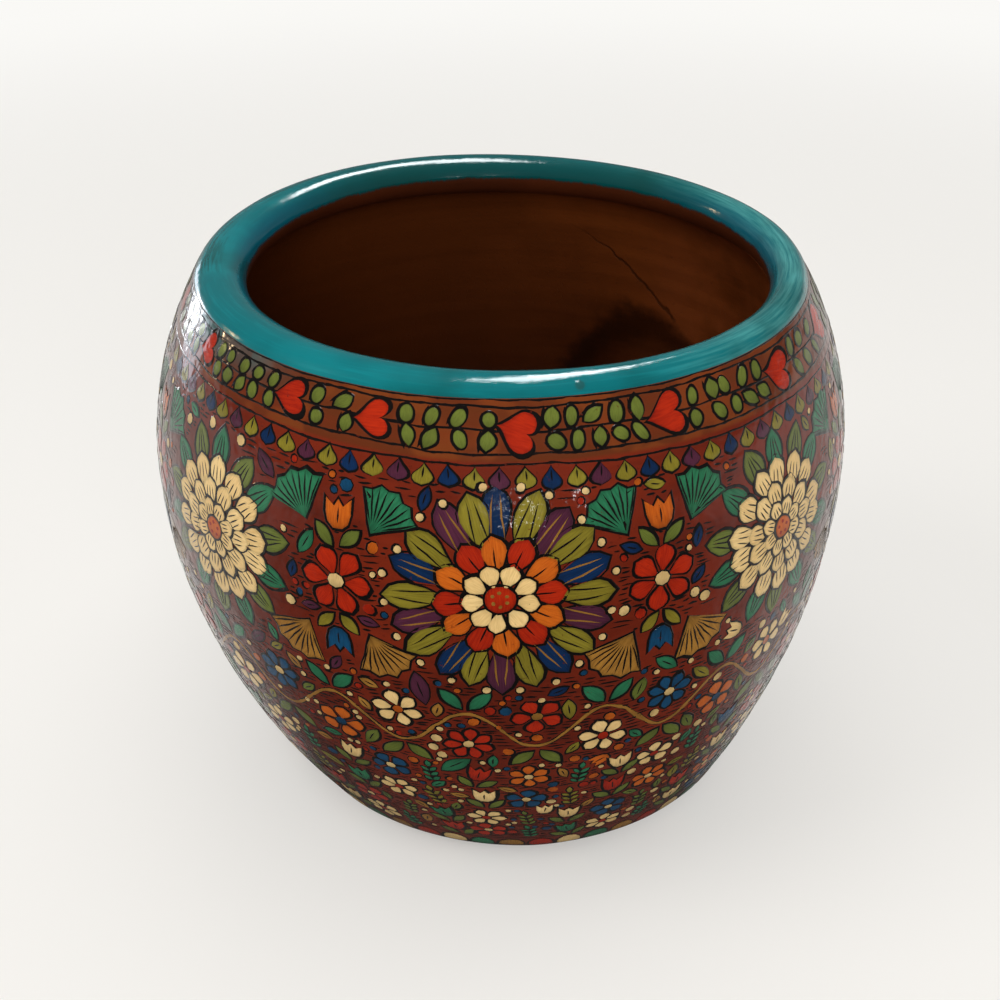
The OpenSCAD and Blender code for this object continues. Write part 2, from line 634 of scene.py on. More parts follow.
class FinishGraph(Graph):
    """A material's node tree, which ends in one Principled shader."""

    varnish_lift: float = 0.26 * MM
    varnish_specular: float = 0.3

    def __init__(self, name: str) -> None:
        """Starts the material.

        Args:
            name: Name of the material.
        """
        self.material = bpy.data.materials.new(name)
        self.material.use_nodes = True
        super().__init__(self.material.node_tree)
        self.place = self.node("ShaderNodeTexCoord", out="Object")

    def mark(self, name: str, out: str = "Fac") -> Field:
        """Reads an attribute of the piece."""
        return self.node("ShaderNodeAttribute", out=out, attribute_name=name)

    def clay(self, colour: Colour, dark: Colour) -> Field:
        """Places fired clay of two tones."""
        return self.placed(fired_clay(), {"Colour": colour, "Dark colour": dark, "Place": self.place})

    def varnished(self, inputs: Optional[dict] = None) -> Field:
        """Places the varnish."""
        return self.placed(varnish(), {"Place": self.place, **(inputs or {})})

    def finish(self, colour: Field, roughness: Field, height: Field, lift: float,
               specular: float) -> Material:
        """Ends the tree in a shader.

        Args:
            colour: The base colour.
            roughness: The roughness.
            height: The surface's relief from 0 to 1.
            lift: How high a relief of 1 stands, in metres.
            specular: The shader's specular level.

        Returns:
            The finished material.
        """
        normal = self.node("ShaderNodeBump", {"Height": height, "Distance": lift, "Strength": 1.0})
        inputs = {"Base Color": colour, "Roughness": roughness, "Normal": normal, "Specular IOR Level": specular}
        self.node("ShaderNodeOutputMaterial", {"Surface": self.node("ShaderNodeBsdfPrincipled", inputs)})
        return self.material

    def finish_varnished(self, colour: Field, relief: Field) -> Material:
        """Ends the tree in varnished paint."""
        gloss = self.varnished()
        return self.finish(colour, gloss, gloss.other("Height") + relief, self.varnish_lift, self.varnish_specular)


@dataclass(frozen=True)
class PaintFinish:
    """One opaque paint under the varnish."""

    name: str
    slot: str
    colour: Colour
    second: Colour
    ground: Colour = srgb(86, 26, 12)

    def material(self) -> Material:
        """Builds the paint's material.

        Returns:
            The material.
        """
        graph = FinishGraph(self.name)
        inputs = {
            "Colour": self.colour, "Second colour": self.second, "Ground": self.ground,
            "Stroke": graph.mark("stroke", "Vector"), "Tone": graph.mark("tone"), "Place": graph.place,
        }
        colour = graph.placed(brushwork(), inputs)
        return graph.finish_varnished(colour, colour.other("Height") * 0.12)


class Paint(Enum):
    """The paints on the wall."""

    BLACK = PaintFinish("Outline black", "outline_black", srgb(11, 8, 7), srgb(22, 15, 12))
    RED = PaintFinish("Red paint", "red_paint", srgb(180, 43, 13), srgb(136, 23, 8))
    ORANGE = PaintFinish("Orange paint", "orange_paint", srgb(206, 104, 26), srgb(168, 72, 16))
    OCHRE = PaintFinish("Ochre paint", "ochre_paint", srgb(172, 124, 52), srgb(126, 84, 32))
    CREAM = PaintFinish("Cream paint", "cream_paint", srgb(246, 214, 150), srgb(212, 174, 108))
    LEAF_GREEN = PaintFinish("Leaf green paint", "leaf_green_paint", srgb(106, 119, 48), srgb(78, 86, 35))
    OLIVE = PaintFinish("Olive paint", "olive_paint", srgb(138, 127, 40), srgb(98, 88, 26))
    TEAL = PaintFinish("Teal green paint", "teal_paint", srgb(44, 122, 84), srgb(28, 84, 57))
    BLUE = PaintFinish("Blue paint", "blue_paint", srgb(17, 76, 114), srgb(11, 49, 78))
    NAVY = PaintFinish("Navy paint", "navy_paint", srgb(11, 43, 84), srgb(7, 28, 56))
    PURPLE = PaintFinish("Purple paint", "purple_paint", srgb(84, 38, 60), srgb(58, 24, 40))


@dataclass(frozen=True)
class GroundFinish:
    """The brushed red-brown ground of the wall, lighter in the border and smeared with enamel at one place."""

    ground: Colour = srgb(118, 37, 16)
    ground_dark: Colour = srgb(68, 19, 8)
    border: Colour = srgb(94, 44, 18)
    border_patch: Colour = srgb(118, 58, 22)
    patches: Pattern = Pattern(60.0, 2.0, 0.5, 0.5, 0.6)
    border_span: Span = (189.5 * MM, 191 * MM)
    border_slant: float = 0.02
    smeared: Colour = srgb(34, 92, 94)
    smear_span: Span = (196 * MM, 204 * MM)
    smear_angle: float = math.radians(-58)
    smear_reach: Span = (0.15, 0.5)

    def material(self) -> Material:
        """Builds the ground's material.

        Returns:
            The material.
        """
        graph = FinishGraph("Painted clay")
        ground = graph.clay(self.ground, self.ground_dark)
        patch = graph.mask(graph.place, self.patches)
        border = graph.blend(patch * 0.8, self.border, self.border_patch)
        border = graph.blend(ground.other("Streaks") * 0.4, border, self.ground)
        x, y, z = graph.split(graph.place)
        colour = graph.blend(graph.ramp(z + x * self.border_slant, *self.border_span), ground, border)
        off = (graph.around(x, y) - self.smear_angle).math("ABSOLUTE")
        smear = graph.ramp(z, *self.smear_span) * graph.ramp(off, *self.smear_reach, 1.0, 0.0)
        colour = graph.blend(smear * graph.ramp(patch, 0.0, 1.0, 0.4, 0.8), colour, self.smeared)
        return graph.finish_varnished(colour, ground.other("Height") * 0.25)


@dataclass(frozen=True)
class BareClayFinish:
    """The satin, unpainted clay inside, with its damp stain, a hairline crack, a dry, dusty floor, painted shade
    towards the left and a painted sheen on the right wall.
    """

    clay: Colour = srgb(112, 55, 20)
    clay_dark: Colour = srgb(70, 32, 9)
    # Span of x over which the inside is darkened towards the left, as painted shade.
    painted_shade_side: Span = (70 * MM, -30 * MM)
    damp: Colour = srgb(16, 7, 3)
    # Lighter clay laid in mottles on the inner right wall as a painted sheen, with the span and pattern it is laid in.
    painted_sheen: Colour = srgb(148, 76, 38)
    painted_sheen_side: Span = (50 * MM, 100 * MM)
    painted_sheen_mottles: Pattern = Pattern(28.0, 4.0, 0.6, 0.35, 0.65)
    smears: Pattern = Pattern(30.0, 3.0, 0.5, 0.35, 0.7)
    dust: Colour = srgb(138, 84, 50)
    dust_span: Span = (46 * MM, 14 * MM)
    stain_place: tuple[float, float, float] = (64 * MM, 99 * MM, 100 * MM)
    stain_radius: float = 40 * MM
    stain_ragged: float = 34 * MM
    crack_high: Span = (math.radians(167.5), 179 * MM)
    crack_low: Span = (math.radians(138.5), 134 * MM)
    crack_width: float = 1.2 * MM
    crack_wander: float = 0.12
    inner_r: float = 110 * MM

    def material(self) -> Material:
        """Builds the bare clay's material.

        Returns:
            The material.
        """
        graph = FinishGraph("Bare clay")
        clay = graph.clay(self.clay, self.clay_dark)
        stain, crack = self._stain(graph), self._crack(graph)
        x, _, z = graph.split(graph.place)
        # Painted shade: the clay darkens towards the left of the inside.
        colour = graph.blend(graph.ramp(x, *self.painted_shade_side) * 0.8, clay, self.clay_dark)
        # Painted sheen: lighter mottles on the inner right wall.
        painted_sheen = graph.ramp(x, *self.painted_sheen_side) * graph.mask(graph.place, self.painted_sheen_mottles)
        colour = graph.blend(painted_sheen * 0.6, colour, self.painted_sheen)
        colour = graph.blend(stain * 0.8, colour, self.damp)
        colour = graph.blend(crack * 0.6, colour, self.damp)
        smear = graph.mask(graph.place, self.smears)
        dry = graph.ramp(z, *self.dust_span)
        colour = graph.blend(dry * (smear * 0.5 + 0.3), colour, self.dust)
        rough = smear * 0.16 + 0.4 - stain * 0.1 + dry * 0.5
        return graph.finish(colour, rough, clay.other("Height") - crack, 0.3 * MM, 0.4)

    def _stain(self, graph: FinishGraph) -> Field:
        """Marks the damp stain on the inner wall.

        Args:
            graph: The material's tree.

        Returns:
            A mask, fainter in the stain's middle.
        """
        away = graph.distance(graph.place, self.stain_place)
        ragged = away + (graph.noise(graph.place, 34.0, 4.0, 0.65) - 0.5) * self.stain_ragged
        edge = graph.ramp(ragged, self.stain_radius * 0.82, self.stain_radius * 1.08, 1.0, 0.0)
        return edge * graph.ramp(ragged, self.stain_radius * 0.25, self.stain_radius * 0.75, 0.4, 1.0)

    def _crack(self, graph: FinishGraph) -> Field:
        """Marks the hairline crack that runs down the inner back wall.

        Args:
            graph: The material's tree.

        Returns:
            A mask that fades at both ends.
        """
        x, y, z = graph.split(graph.place)
        (high_angle, high_z), (low_angle, low_z) = self.crack_high, self.crack_low
        share = (high_z - z) / (high_z - low_z)
        lead = share.math("MAXIMUM", 0.0) ** 0.7 * (low_angle - high_angle) + high_angle
        wander = (graph.noise(graph.place, 70.0, 3.0) - 0.5) * self.crack_wander
        off = (graph.around(x, y) - lead - wander).math("ABSOLUTE") * self.inner_r
        line = graph.ramp(off, self.crack_width * 0.4, self.crack_width, 1.0, 0.0)
        ends = graph.ramp(share, 0.0, 0.4) * graph.ramp(share, 0.9, 1.0, 1.0, 0.0)
        return line * ends * graph.ramp(y, 20 * MM, 30 * MM)


@dataclass(frozen=True)
class EnamelFinish:
    """The glossy turquoise of the lip, brushed on by hand, with a painted highlight on its right side and bare clay,
    darkened as painted shade, under its inner side.
    """

    chip: tuple[float, float, float]
    turquoise: Colour = srgb(3, 104, 111)
    light: Colour = srgb(12, 138, 146)
    # Colour of the painted highlight on the right side of the rim.
    pale: Colour = srgb(94, 172, 168)
    deep: Colour = srgb(4, 64, 62)
    shaded_side: Colour = srgb(2, 82, 104)
    chipped: Colour = srgb(34, 78, 78)
    # Bare clay under the roll's inner side, darkened as painted shade under the overhang.
    clay: Colour = srgb(74, 32, 13)
    clay_dark: Colour = srgb(48, 20, 8)
    chip_span: Span = (1.0 * MM, 2.0 * MM)
    outer_span: Span = (0.321, 0.329)
    inner_span: Span = (0.726, 0.75)

    def material(self) -> Material:
        """Builds the enamel's material.

        Returns:
            The material.
        """
        graph = FinishGraph("Rim enamel")
        x, y, _ = graph.split(graph.place)
        across, angle = graph.mark("across"), graph.around(x, y)
        right, front = angle.math("SINE"), angle.math("COSINE")
        streaks = graph.noise(graph.joined(right * 5.0, front * 5.0, across * 46.0), 1.0, 4.0, 0.6)
        pools = graph.noise(graph.place, 22.0, 3.0)
        blots = graph.ramp(right, -0.45, -0.9) * graph.ramp(streaks, 0.42, 0.56) * graph.ramp(pools, 0.38, 0.52)
        away = graph.distance(graph.place, self.chip)
        brushed = (
            (graph.ramp(streaks, 0.45, 0.8) * 0.4, self.light),
            (graph.ramp(right, 0.2, -0.9) * graph.ramp(pools, 0.35, 0.6) * 0.8, self.light),
            # Painted highlight: paler streaks on the right side of the rim.
            (graph.ramp(right, 0.35, 0.95) * graph.ramp(streaks, 0.25, 0.75) * 0.65, self.pale),
            (blots * graph.ramp(across, 0.56, 0.48) * 0.6, self.deep),
            (graph.ramp(across, 0.54, 0.68) * 0.8, self.shaded_side),
            (graph.ramp(pools, 0.46, 0.68) * 0.65, self.deep),
            (graph.ramp(front, -0.2, -0.9) * graph.ramp(across, 0.42, 0.66, 0.45, 0.9), self.deep),
            (graph.ramp(away, *self.chip_span, 0.7, 0.0), self.chipped),
        )
        enamel = self.turquoise
        for share, tone in brushed:
            enamel = graph.blend(share, enamel, tone)
        ragged = (graph.noise(graph.joined(right * 9.0, front * 9.0, 0.0), 1.0, 5.0, 0.65) - 0.5) * 0.05
        bristle = (graph.noise(graph.joined(right * 140.0, front * 140.0, 0.0), 1.0) - 0.5) * 0.03
        paint = graph.ramp(across + ragged + bristle, *self.inner_span, 1.0, 0.0)
        paint = paint * graph.ramp(across + ragged * 0.08, *self.outer_span)
        # Where there is no enamel, the lip shows its clay, darkened as painted shade under the roll.
        colour = graph.blend(paint, graph.clay(self.clay, self.clay_dark), enamel)
        gloss = graph.varnished({"Gloss roughness": 0.1, "Wrinkles": 0.25})
        rough = gloss * paint + (1.0 - paint) * 0.5
        height = gloss.other("Height") + streaks * 0.25 + paint * 0.6
        return graph.finish(colour, rough, height, 0.28 * MM, 0.4)


# ---- the clay


@dataclass
class ClayBody:
    """The clay members as they show: the outer wall, the bare inside and the thick lip."""

    form: PotForm
    pressed: NodeTree
    seam_depth: float = 4.0 * MM
    seam_overlap: float = 0.6 * MM
    seam_low: float = 9.0 * MM
    foot_ring: float = 4.0 * MM
    foot_step: float = 6.0 * MM
    foot_hollow: float = 0.3 * MM
    finger_ridge: float = 0.14 * MM
    finger_pitch: float = 11.0 * MM
    finger_fade: float = 25.0 * MM
    cove_r: float = 9.0 * MM
    cove_lead: float = 1.6 * MM
    drain_edge: float = 1.5 * MM
    thumbed_low: float = 177.0 * MM
    thumbed_turn: float = math.radians(55)
    thumbed_back: float = 2.4 * MM
    thumbed_knee: float = 13.0 * MM
    thumbed_lap: float = 2.0 * MM
    wall_around: int = 320
    inside_around: int = 360
    lip_around: int = 720
    lip_steps: int = 88
    lip_extra: float = 0.17
    chip_angle: float = math.radians(12.6)
    chip_round_lip: float = math.radians(50)
    chip_radius: float = 2.0 * MM
    chip_depth: float = 0.45 * MM
    crease: float = 50.0
    members: tuple[str, ...] = (
        "lower_bowl", "lower_belly_coil", "belly_coil", "upper_belly_coil", "shoulder_coil", "neck_coil",
    )
    pieces: list[Object] = field(default_factory=list)

    def build(self) -> list[Object]:
        """Builds and dresses the clay pieces.

        Returns:
            The finished pieces.
        """
        self.tree = turned_tree(self.form, self.pressed)
        self._outer_wall()
        self._inside()
        self._lip()
        return self.pieces

    def _turn(self, name: str, slot: str, replaced: Sequence[str], section: np.ndarray, inputs: dict) -> None:
        """Turns one closed section into a piece.

        Args:
            name: Name of the piece.
            slot: The record's material slot, handed on to grown.
            replaced: The CAD nodes that it stands for.
            section: Radius and height of each point of the closed section.
            inputs: The tree's other inputs.
        """
        line = polyline(f"{name}_section", section)
        values = {"Section": line, "Steps along": len(section), **inputs}
        piece = grown(name, slot, bpy.data.meshes.new(f"{name}_start"), self.tree, values, self.crease)
        bpy.data.curves.remove(line.data)
        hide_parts(*replaced)
        self.pieces.append(piece)

    def _outer_wall(self) -> None:
        """Builds the painted outer wall with its heel."""
        form = self.form
        outside = form.outer_line()
        inside = form.inside_line(self.seam_depth, form.edge[1] - 1.5 * MM, self.seam_low, 24)
        foot = pairs(outside[0, 0] - self.foot_ring, [self.foot_step, 0.0])
        section = np.concatenate([outside, inside, foot])
        inputs = {"Steps around": self.wall_around, "Finish": GroundFinish().material()}
        self._turn("outer_wall", "painted_clay", self.members, section, inputs)

    def _inside(self) -> None:
        """Builds the bare inner wall, the floor and the foot with its drain hole."""
        form, edge = self.form, self.drain_edge
        toe = form.heel_line()[0, 0] - self.foot_ring + self.seam_overlap
        inner = form.inside_line(form.wall, self.thumbed_low, form.slab + self.cove_r, 110)
        heights = inner[:, 1]
        fade = np.clip(np.minimum(heights[0] - heights, heights - heights[-1]) / self.finger_fade, 0.0, 1.0)
        inner[:, 0] += self.finger_ridge * fade * np.sin(TURN * heights / self.finger_pitch)
        inner = np.concatenate([self._thumbed(inner[0]), inner])
        bend, soft = np.linspace(0.0, math.pi / 2, 9)[1:], np.linspace(0.0, math.pi / 2, 5)[1:]
        cove_r = inner[-1, 0] - self.cove_r * (1 - np.cos(bend)) - self.cove_lead * np.sin(bend)
        section = np.concatenate([
            inner,
            pairs(cove_r, form.slab + self.cove_r * (1 - np.sin(bend))),
            pairs(np.linspace(cove_r[-1], form.drain_r + edge, 24)[1:], form.slab),
            pairs(form.drain_r + edge * (1 - np.sin(soft)), form.slab - edge * (1 - np.cos(soft))),
            pairs(form.drain_r, np.linspace(form.slab - edge, self.foot_hollow, 8)[1:]),
            pairs(np.linspace(form.drain_r, toe, 24)[1:], self.foot_hollow),
            pairs([toe], self.foot_step),
            form.inside_line(self.seam_depth - self.seam_overlap, self.seam_low, form.rim_z - 3.0 * MM, 20),
        ])
        inputs = {"Steps around": self.inside_around, "Finish": BareClayFinish().material()}
        self._turn("bare_inside", "bare_clay", ["base_slab"], section, inputs)

    def _thumbed(self, low: np.ndarray) -> np.ndarray:
        """Gives the line along which the lip was thumbed down into the inner wall.

        Args:
            low: Radius and height where the line meets the wall.

        Returns:
            Radius and height of each point, from the lip down.
        """
        turn = self.thumbed_turn
        start = np.array(self.form.on_roll(math.pi + turn, self.form.rim_mid_r + self.thumbed_back))
        ahead = np.array([math.sin(turn), -math.cos(turn)])
        knee = start + ahead * self.thumbed_knee
        share = np.linspace(0.0, 1.0, 14)[:-1, None]
        bend = (1 - share) ** 2 * start + 2 * share * (1 - share) * knee + share**2 * low
        return np.concatenate([[start - ahead * self.thumbed_lap], bend])

    def _lip(self) -> None:
        """Builds the thick rolled lip, wider on the left, with a small chip in front."""
        turn = np.linspace(0.0, TURN, self.lip_steps, endpoint=False) - math.pi / 2
        chip_r, chip_z = (float(part) for part in self.form.on_roll(self.chip_round_lip))
        chip = (chip_r * math.sin(self.chip_angle), -chip_r * math.cos(self.chip_angle), chip_z)
        inputs = {
            "Steps around": self.lip_around, "Thicker to the left": self.lip_extra, "Chip place": chip,
            "Chip radius": self.chip_radius, "Chip depth": self.chip_depth, "Finish": EnamelFinish(chip).material(),
        }
        self._turn("rim_lip", "rim_enamel", ["rim_coil"], pairs(*self.form.on_roll(turn)), inputs)


# ---- the painting


class Mark(IntEnum):
    """The brush marks that the painting is made of, in the order of the stamps."""

    ROUND = 0
    PETAL = 1
    LEAF = 2
    HEART = 3
    FAN = 4
    CUP = 5
    SCALLOP = 6
    DOT = 7
    STROKE = 8


@dataclass
class Stamps:
    """Small raised shapes, one for each brush mark, in a box one unit wide and long."""

    sink: float = -0.03 * MM
    crown: float = 0.05 * MM
    crest: float = 1.1
    cup: tuple[Span, ...] = (
        (-0.16, -0.5), (0.16, -0.5), (0.38, -0.32), (0.48, 0.0), (0.5, 0.5), (0.34, 0.36), (0.22, 0.2),
        (0.0, 0.46), (-0.22, 0.2), (-0.34, 0.36), (-0.5, 0.5), (-0.48, 0.0), (-0.38, -0.32),
    )

    def __post_init__(self) -> None:
        """Builds the full stamps for colours and the thin ones for black backings."""
        self.full, self.thin = (bpy.data.collections.new(f"{use} stamps") for use in ("colour", "backing"))
        for mark in Mark:
            small, wide = mark in (Mark.DOT, Mark.STROKE), mark in (Mark.FAN, Mark.HEART)
            rings = (1.0, 0.93 if small else 0.97)
            self._add(self.full, mark, rings if small else (*rings, 0.5))
            self._add(self.thin, mark, (*rings, 0.78) if wide else rings)

    def outline(self, mark: Mark) -> np.ndarray:
        """Gives a mark's outline, running anticlockwise.

        Args:
            mark: The brush mark.

        Returns:
            Points in a box one unit wide and long, round its middle.
        """
        if mark in (Mark.ROUND, Mark.DOT):
            turn = np.linspace(0.0, TURN, 8 if mark is Mark.DOT else 18, endpoint=False)
            points = pairs(np.cos(turn), np.sin(turn))
        elif mark is Mark.HEART:
            turn = np.linspace(0.0, TURN, 36, endpoint=False)
            lobes = 13 * np.cos(turn) - 5 * np.cos(2 * turn) - 2 * np.cos(3 * turn) - np.cos(4 * turn)
            points = pairs(16 * np.sin(turn) ** 3, lobes)[::-1]
        elif mark is Mark.FAN:
            turn = np.radians(np.linspace(-48, 48, 9)) + math.pi / 2
            bow = 1.0 + 0.04 * np.cos(np.linspace(0, 4 * TURN, 9))
            arc = pairs(bow * np.cos(turn), bow * np.sin(turn))
            side = np.array([0.0, 0.28, 0.54, 0.78])[:, None]
            points = np.concatenate([side * arc[0], arc, (side * arc[-1])[:0:-1]])
        elif mark is Mark.CUP:
            points = np.array(self.cup)
        elif mark is Mark.SCALLOP:
            turn = np.linspace(0.0, math.pi, 11)
            base = [[-0.6, -0.04], [-0.2, -0.05], [0.2, -0.05], [0.6, -0.04]]
            points = np.concatenate([pairs(np.cos(turn), np.sin(turn) ** 0.8), base])
        else:
            along = np.linspace(0.0, 1.0, 5 if mark is Mark.STROKE else 9)
            half = {
                Mark.PETAL: np.sin(math.pi * along**1.7) ** 0.75,
                Mark.LEAF: (4 * along * (1 - along)) ** 0.95,
                Mark.STROKE: np.array([0.0, 0.8, 1.0, 0.8, 0.0]),
            }[mark]
            points = np.concatenate([pairs(half, along), pairs(-half, along)[::-1][1:-1]])
        low, high = points.min(axis=0), points.max(axis=0)
        return (points - (low + high) / 2) / (high - low)

    def _add(self, shelf: Collection, mark: Mark, rings: Sequence[float]) -> None:
        """Adds one stamp to a shelf.

        Args:
            shelf: The collection.
            mark: The brush mark.
            rings: Sizes of the rings from the rim of the mark inwards.
        """
        outline = self.outline(mark)
        count, middle = len(outline), outline.mean(axis=0)
        heights = [self.sink, self.crown, self.crown * self.crest]
        points, strokes = [], []
        for share, height in zip(rings, heights):
            for spot in middle + (outline - middle) * share:
                points.append((*spot, height))
                strokes.append((*spot, share))
        faces = [tuple(range(count))[::-1]]
        last = (len(rings) - 1) * count
        for low in range(0, last, count):
            high = low + count
            for i in range(count):
                j = (i + 1) % count
                faces.append((low + i, low + j, high + j, high + i))
        if shelf is self.full and len(rings) > 2:
            points.append((*middle, heights[-1] * self.crest))
            strokes.append((*middle, 0.0))
            faces += [(last + i, last + (i + 1) % count, last + count) for i in range(count)]
        elif mark is Mark.STROKE:
            faces += [tuple(last + i for i in face) for face in ((0, 1, 7), (1, 2, 6, 7), (2, 3, 5, 6), (3, 4, 5))]
        else:
            faces.append(tuple(range(last, last + count)))
        name = f"{shelf.name}_{int(mark):02d}"
        mesh = bpy.data.meshes.new(name)
        mesh.from_pydata(points, [], faces)
        add_attribute(mesh, "stroke", "FLOAT_VECTOR", strokes)
        shelf.objects.link(bpy.data.objects.new(name, mesh))

    def clear(self) -> None:
        """Removes the stamps once the painting is done."""
        for shelf in (self.full, self.thin):
            for stamp in list(shelf.objects):
                bpy.data.meshes.remove(stamp.data)
            bpy.data.collections.remove(shelf)


class Spot(NamedTuple):
    """A place on the wall: its angle (0 in front), its distance down from the rim's edge, and an anticlockwise turn."""

    angle: float
    down: float
    turn: float = 0.0

    def turned(self, by: float) -> "Spot":
        """Gives the same place with a further turn."""
        return self._replace(turn=self.turn + by)


class Dab(NamedTuple):
    """One stamped brush mark on the wall."""

    mark: Mark
    spot: Spot
    width: float
    length: float
    lift: float
    tone: float


class BrushLine(NamedTuple):
    """One line drawn round the wall, as the angle, distance down and width of each point."""

    points: np.ndarray
    lift: float
    tone: float


class Layer(Enum):
    """What the marks of a painted piece are for."""

    COLOUR = "colour"
    BACKING = "upper_outlines"
    LOW_BACKING = "lower_outlines"
    DETAIL = "brush_lines"
    HATCHING = "hatching"


class Filler(Enum):
    """What fills the gaps between the motifs, each with its width and length in millimetres and its tries."""

    FLOWER = (11.5, 11.5, 2500)
    BUD = (6.4, 7.4, 1500)
    LONG_LEAF = (6.0, 14.0, 5000)
    LEAF = (4.4, 10.0, 6000)
    SMALL_LEAF = (3.2, 7.0, 9000)
    BERRY = (3.8, 3.8, 6000)
    DOT = (2.2, 2.2, 9000)


OUTLINE = 0.9 * MM
FINE_OUTLINE = 0.6 * MM
VEIN = 0.6 * MM
BOTH_SIDES = (-1.0, 1.0)
VEIN_COAT = 1.4


@dataclass(frozen=True)
class Veins:
    """The strokes along each petal of a ring, in shares of the flower's radius."""

    length: float
    sides: tuple[float, ...]
    along: float = 0.0
    across: float = 0.0
    splay: float = 0.0
    width: float = VEIN
    paints: tuple[Paint, ...] = (Paint.BLACK,)


@dataclass(frozen=True)
class PetalRing:
    """One ring of outlined marks in a great flower, in shares of the flower's radius."""

    paints: tuple[Paint, ...]
    mark: Mark
    count: int
    reach: float
    width: float
    length: float
    coat: float
    coat_step: float = 0.0
    start: float = 0.0
    line: float = OUTLINE
    veins: Veins = Veins(0.0, ())


@dataclass(frozen=True)
class GreatFlower:
    """A large flower: its rings of petals from the outside in, its heart and the seeds on it."""

    radius: float
    cleared: float
    rings: tuple[PetalRing, ...]
    heart: Paint
    heart_size: float
    heart_coat: float
    seed: Paint
    seed_count: int
    seed_reach: float
    seed_size: float = 1.3 * MM


FANNED = (-1.0, 0.0, 1.0)
DEEP_PETALS = (Paint.NAVY, Paint.OLIVE, Paint.PURPLE, Paint.OLIVE)

DAHLIA = GreatFlower(
    35 * MM, 2.0,
    (
        PetalRing(DEEP_PETALS, Mark.PETAL, 20, 0.7, 0.245, 0.62, 1.0, 1.2, veins=Veins(
            0.42, BOTH_SIDES, 0.03, 0.045, 0.07, paints=(Paint.OCHRE, Paint.BLACK, Paint.OCHRE, Paint.BLACK))),
        PetalRing((Paint.CREAM,), Mark.DOT, 20, 1.0, 2.6 / 35, 2.6 / 35, 3.8, start=math.pi / 20, line=0.5 * MM),
        PetalRing((Paint.ORANGE, Paint.RED), Mark.PETAL, 12, 0.4, 0.23, 0.38, 3.6, start=0.1,
                  veins=Veins(0.22, (0.0,), -0.02)),
        PetalRing((Paint.CREAM,), Mark.PETAL, 9, 0.22, 0.17, 0.24, 5.4, start=0.3),
    ),
    heart=Paint.RED, heart_size=0.26, heart_coat=7.2, seed=Paint.OCHRE, seed_count=6, seed_reach=0.07,
)
CHRYSANTHEMUM = GreatFlower(
    34 * MM, 1.9,
    (
        PetalRing((Paint.TEAL, Paint.LEAF_GREEN), Mark.LEAF, 14, 0.79, 0.24, 0.44, 1.0,
                  veins=Veins(0.3, FANNED, 0.0, 0.05, 0.18, 0.55 * MM)),
        PetalRing((Paint.CREAM,), Mark.PETAL, 14, 0.54, 0.24, 0.4, 2.6, 0.8, 0.0,
                  veins=Veins(0.168, FANNED, 0.02, 0.0576, 0.1, 0.5 * MM)),
        PetalRing((Paint.CREAM,), Mark.PETAL, 11, 0.34, 0.2, 0.34, 4.8, 0.8, 0.2,
                  veins=Veins(0.1428, FANNED, 0.017, 0.048, 0.1, 0.5 * MM)),
        PetalRing((Paint.CREAM,), Mark.PETAL, 8, 0.18, 0.16, 0.24, 7.0, 0.8, 0.4,
                  veins=Veins(0.1008, FANNED, 0.012, 0.0384, 0.1, 0.5 * MM)),
    ),
    heart=Paint.ORANGE, heart_size=0.22, heart_coat=9.6, seed=Paint.RED, seed_count=5, seed_reach=0.06,
)


def spread(count: int, offset: float = 0.0) -> Iterator[tuple[int, float]]:
    """Goes round the pot in even steps from the back, with the number and angle of each."""
    return ((i, -math.pi + (i + offset) * TURN / count) for i in range(count))


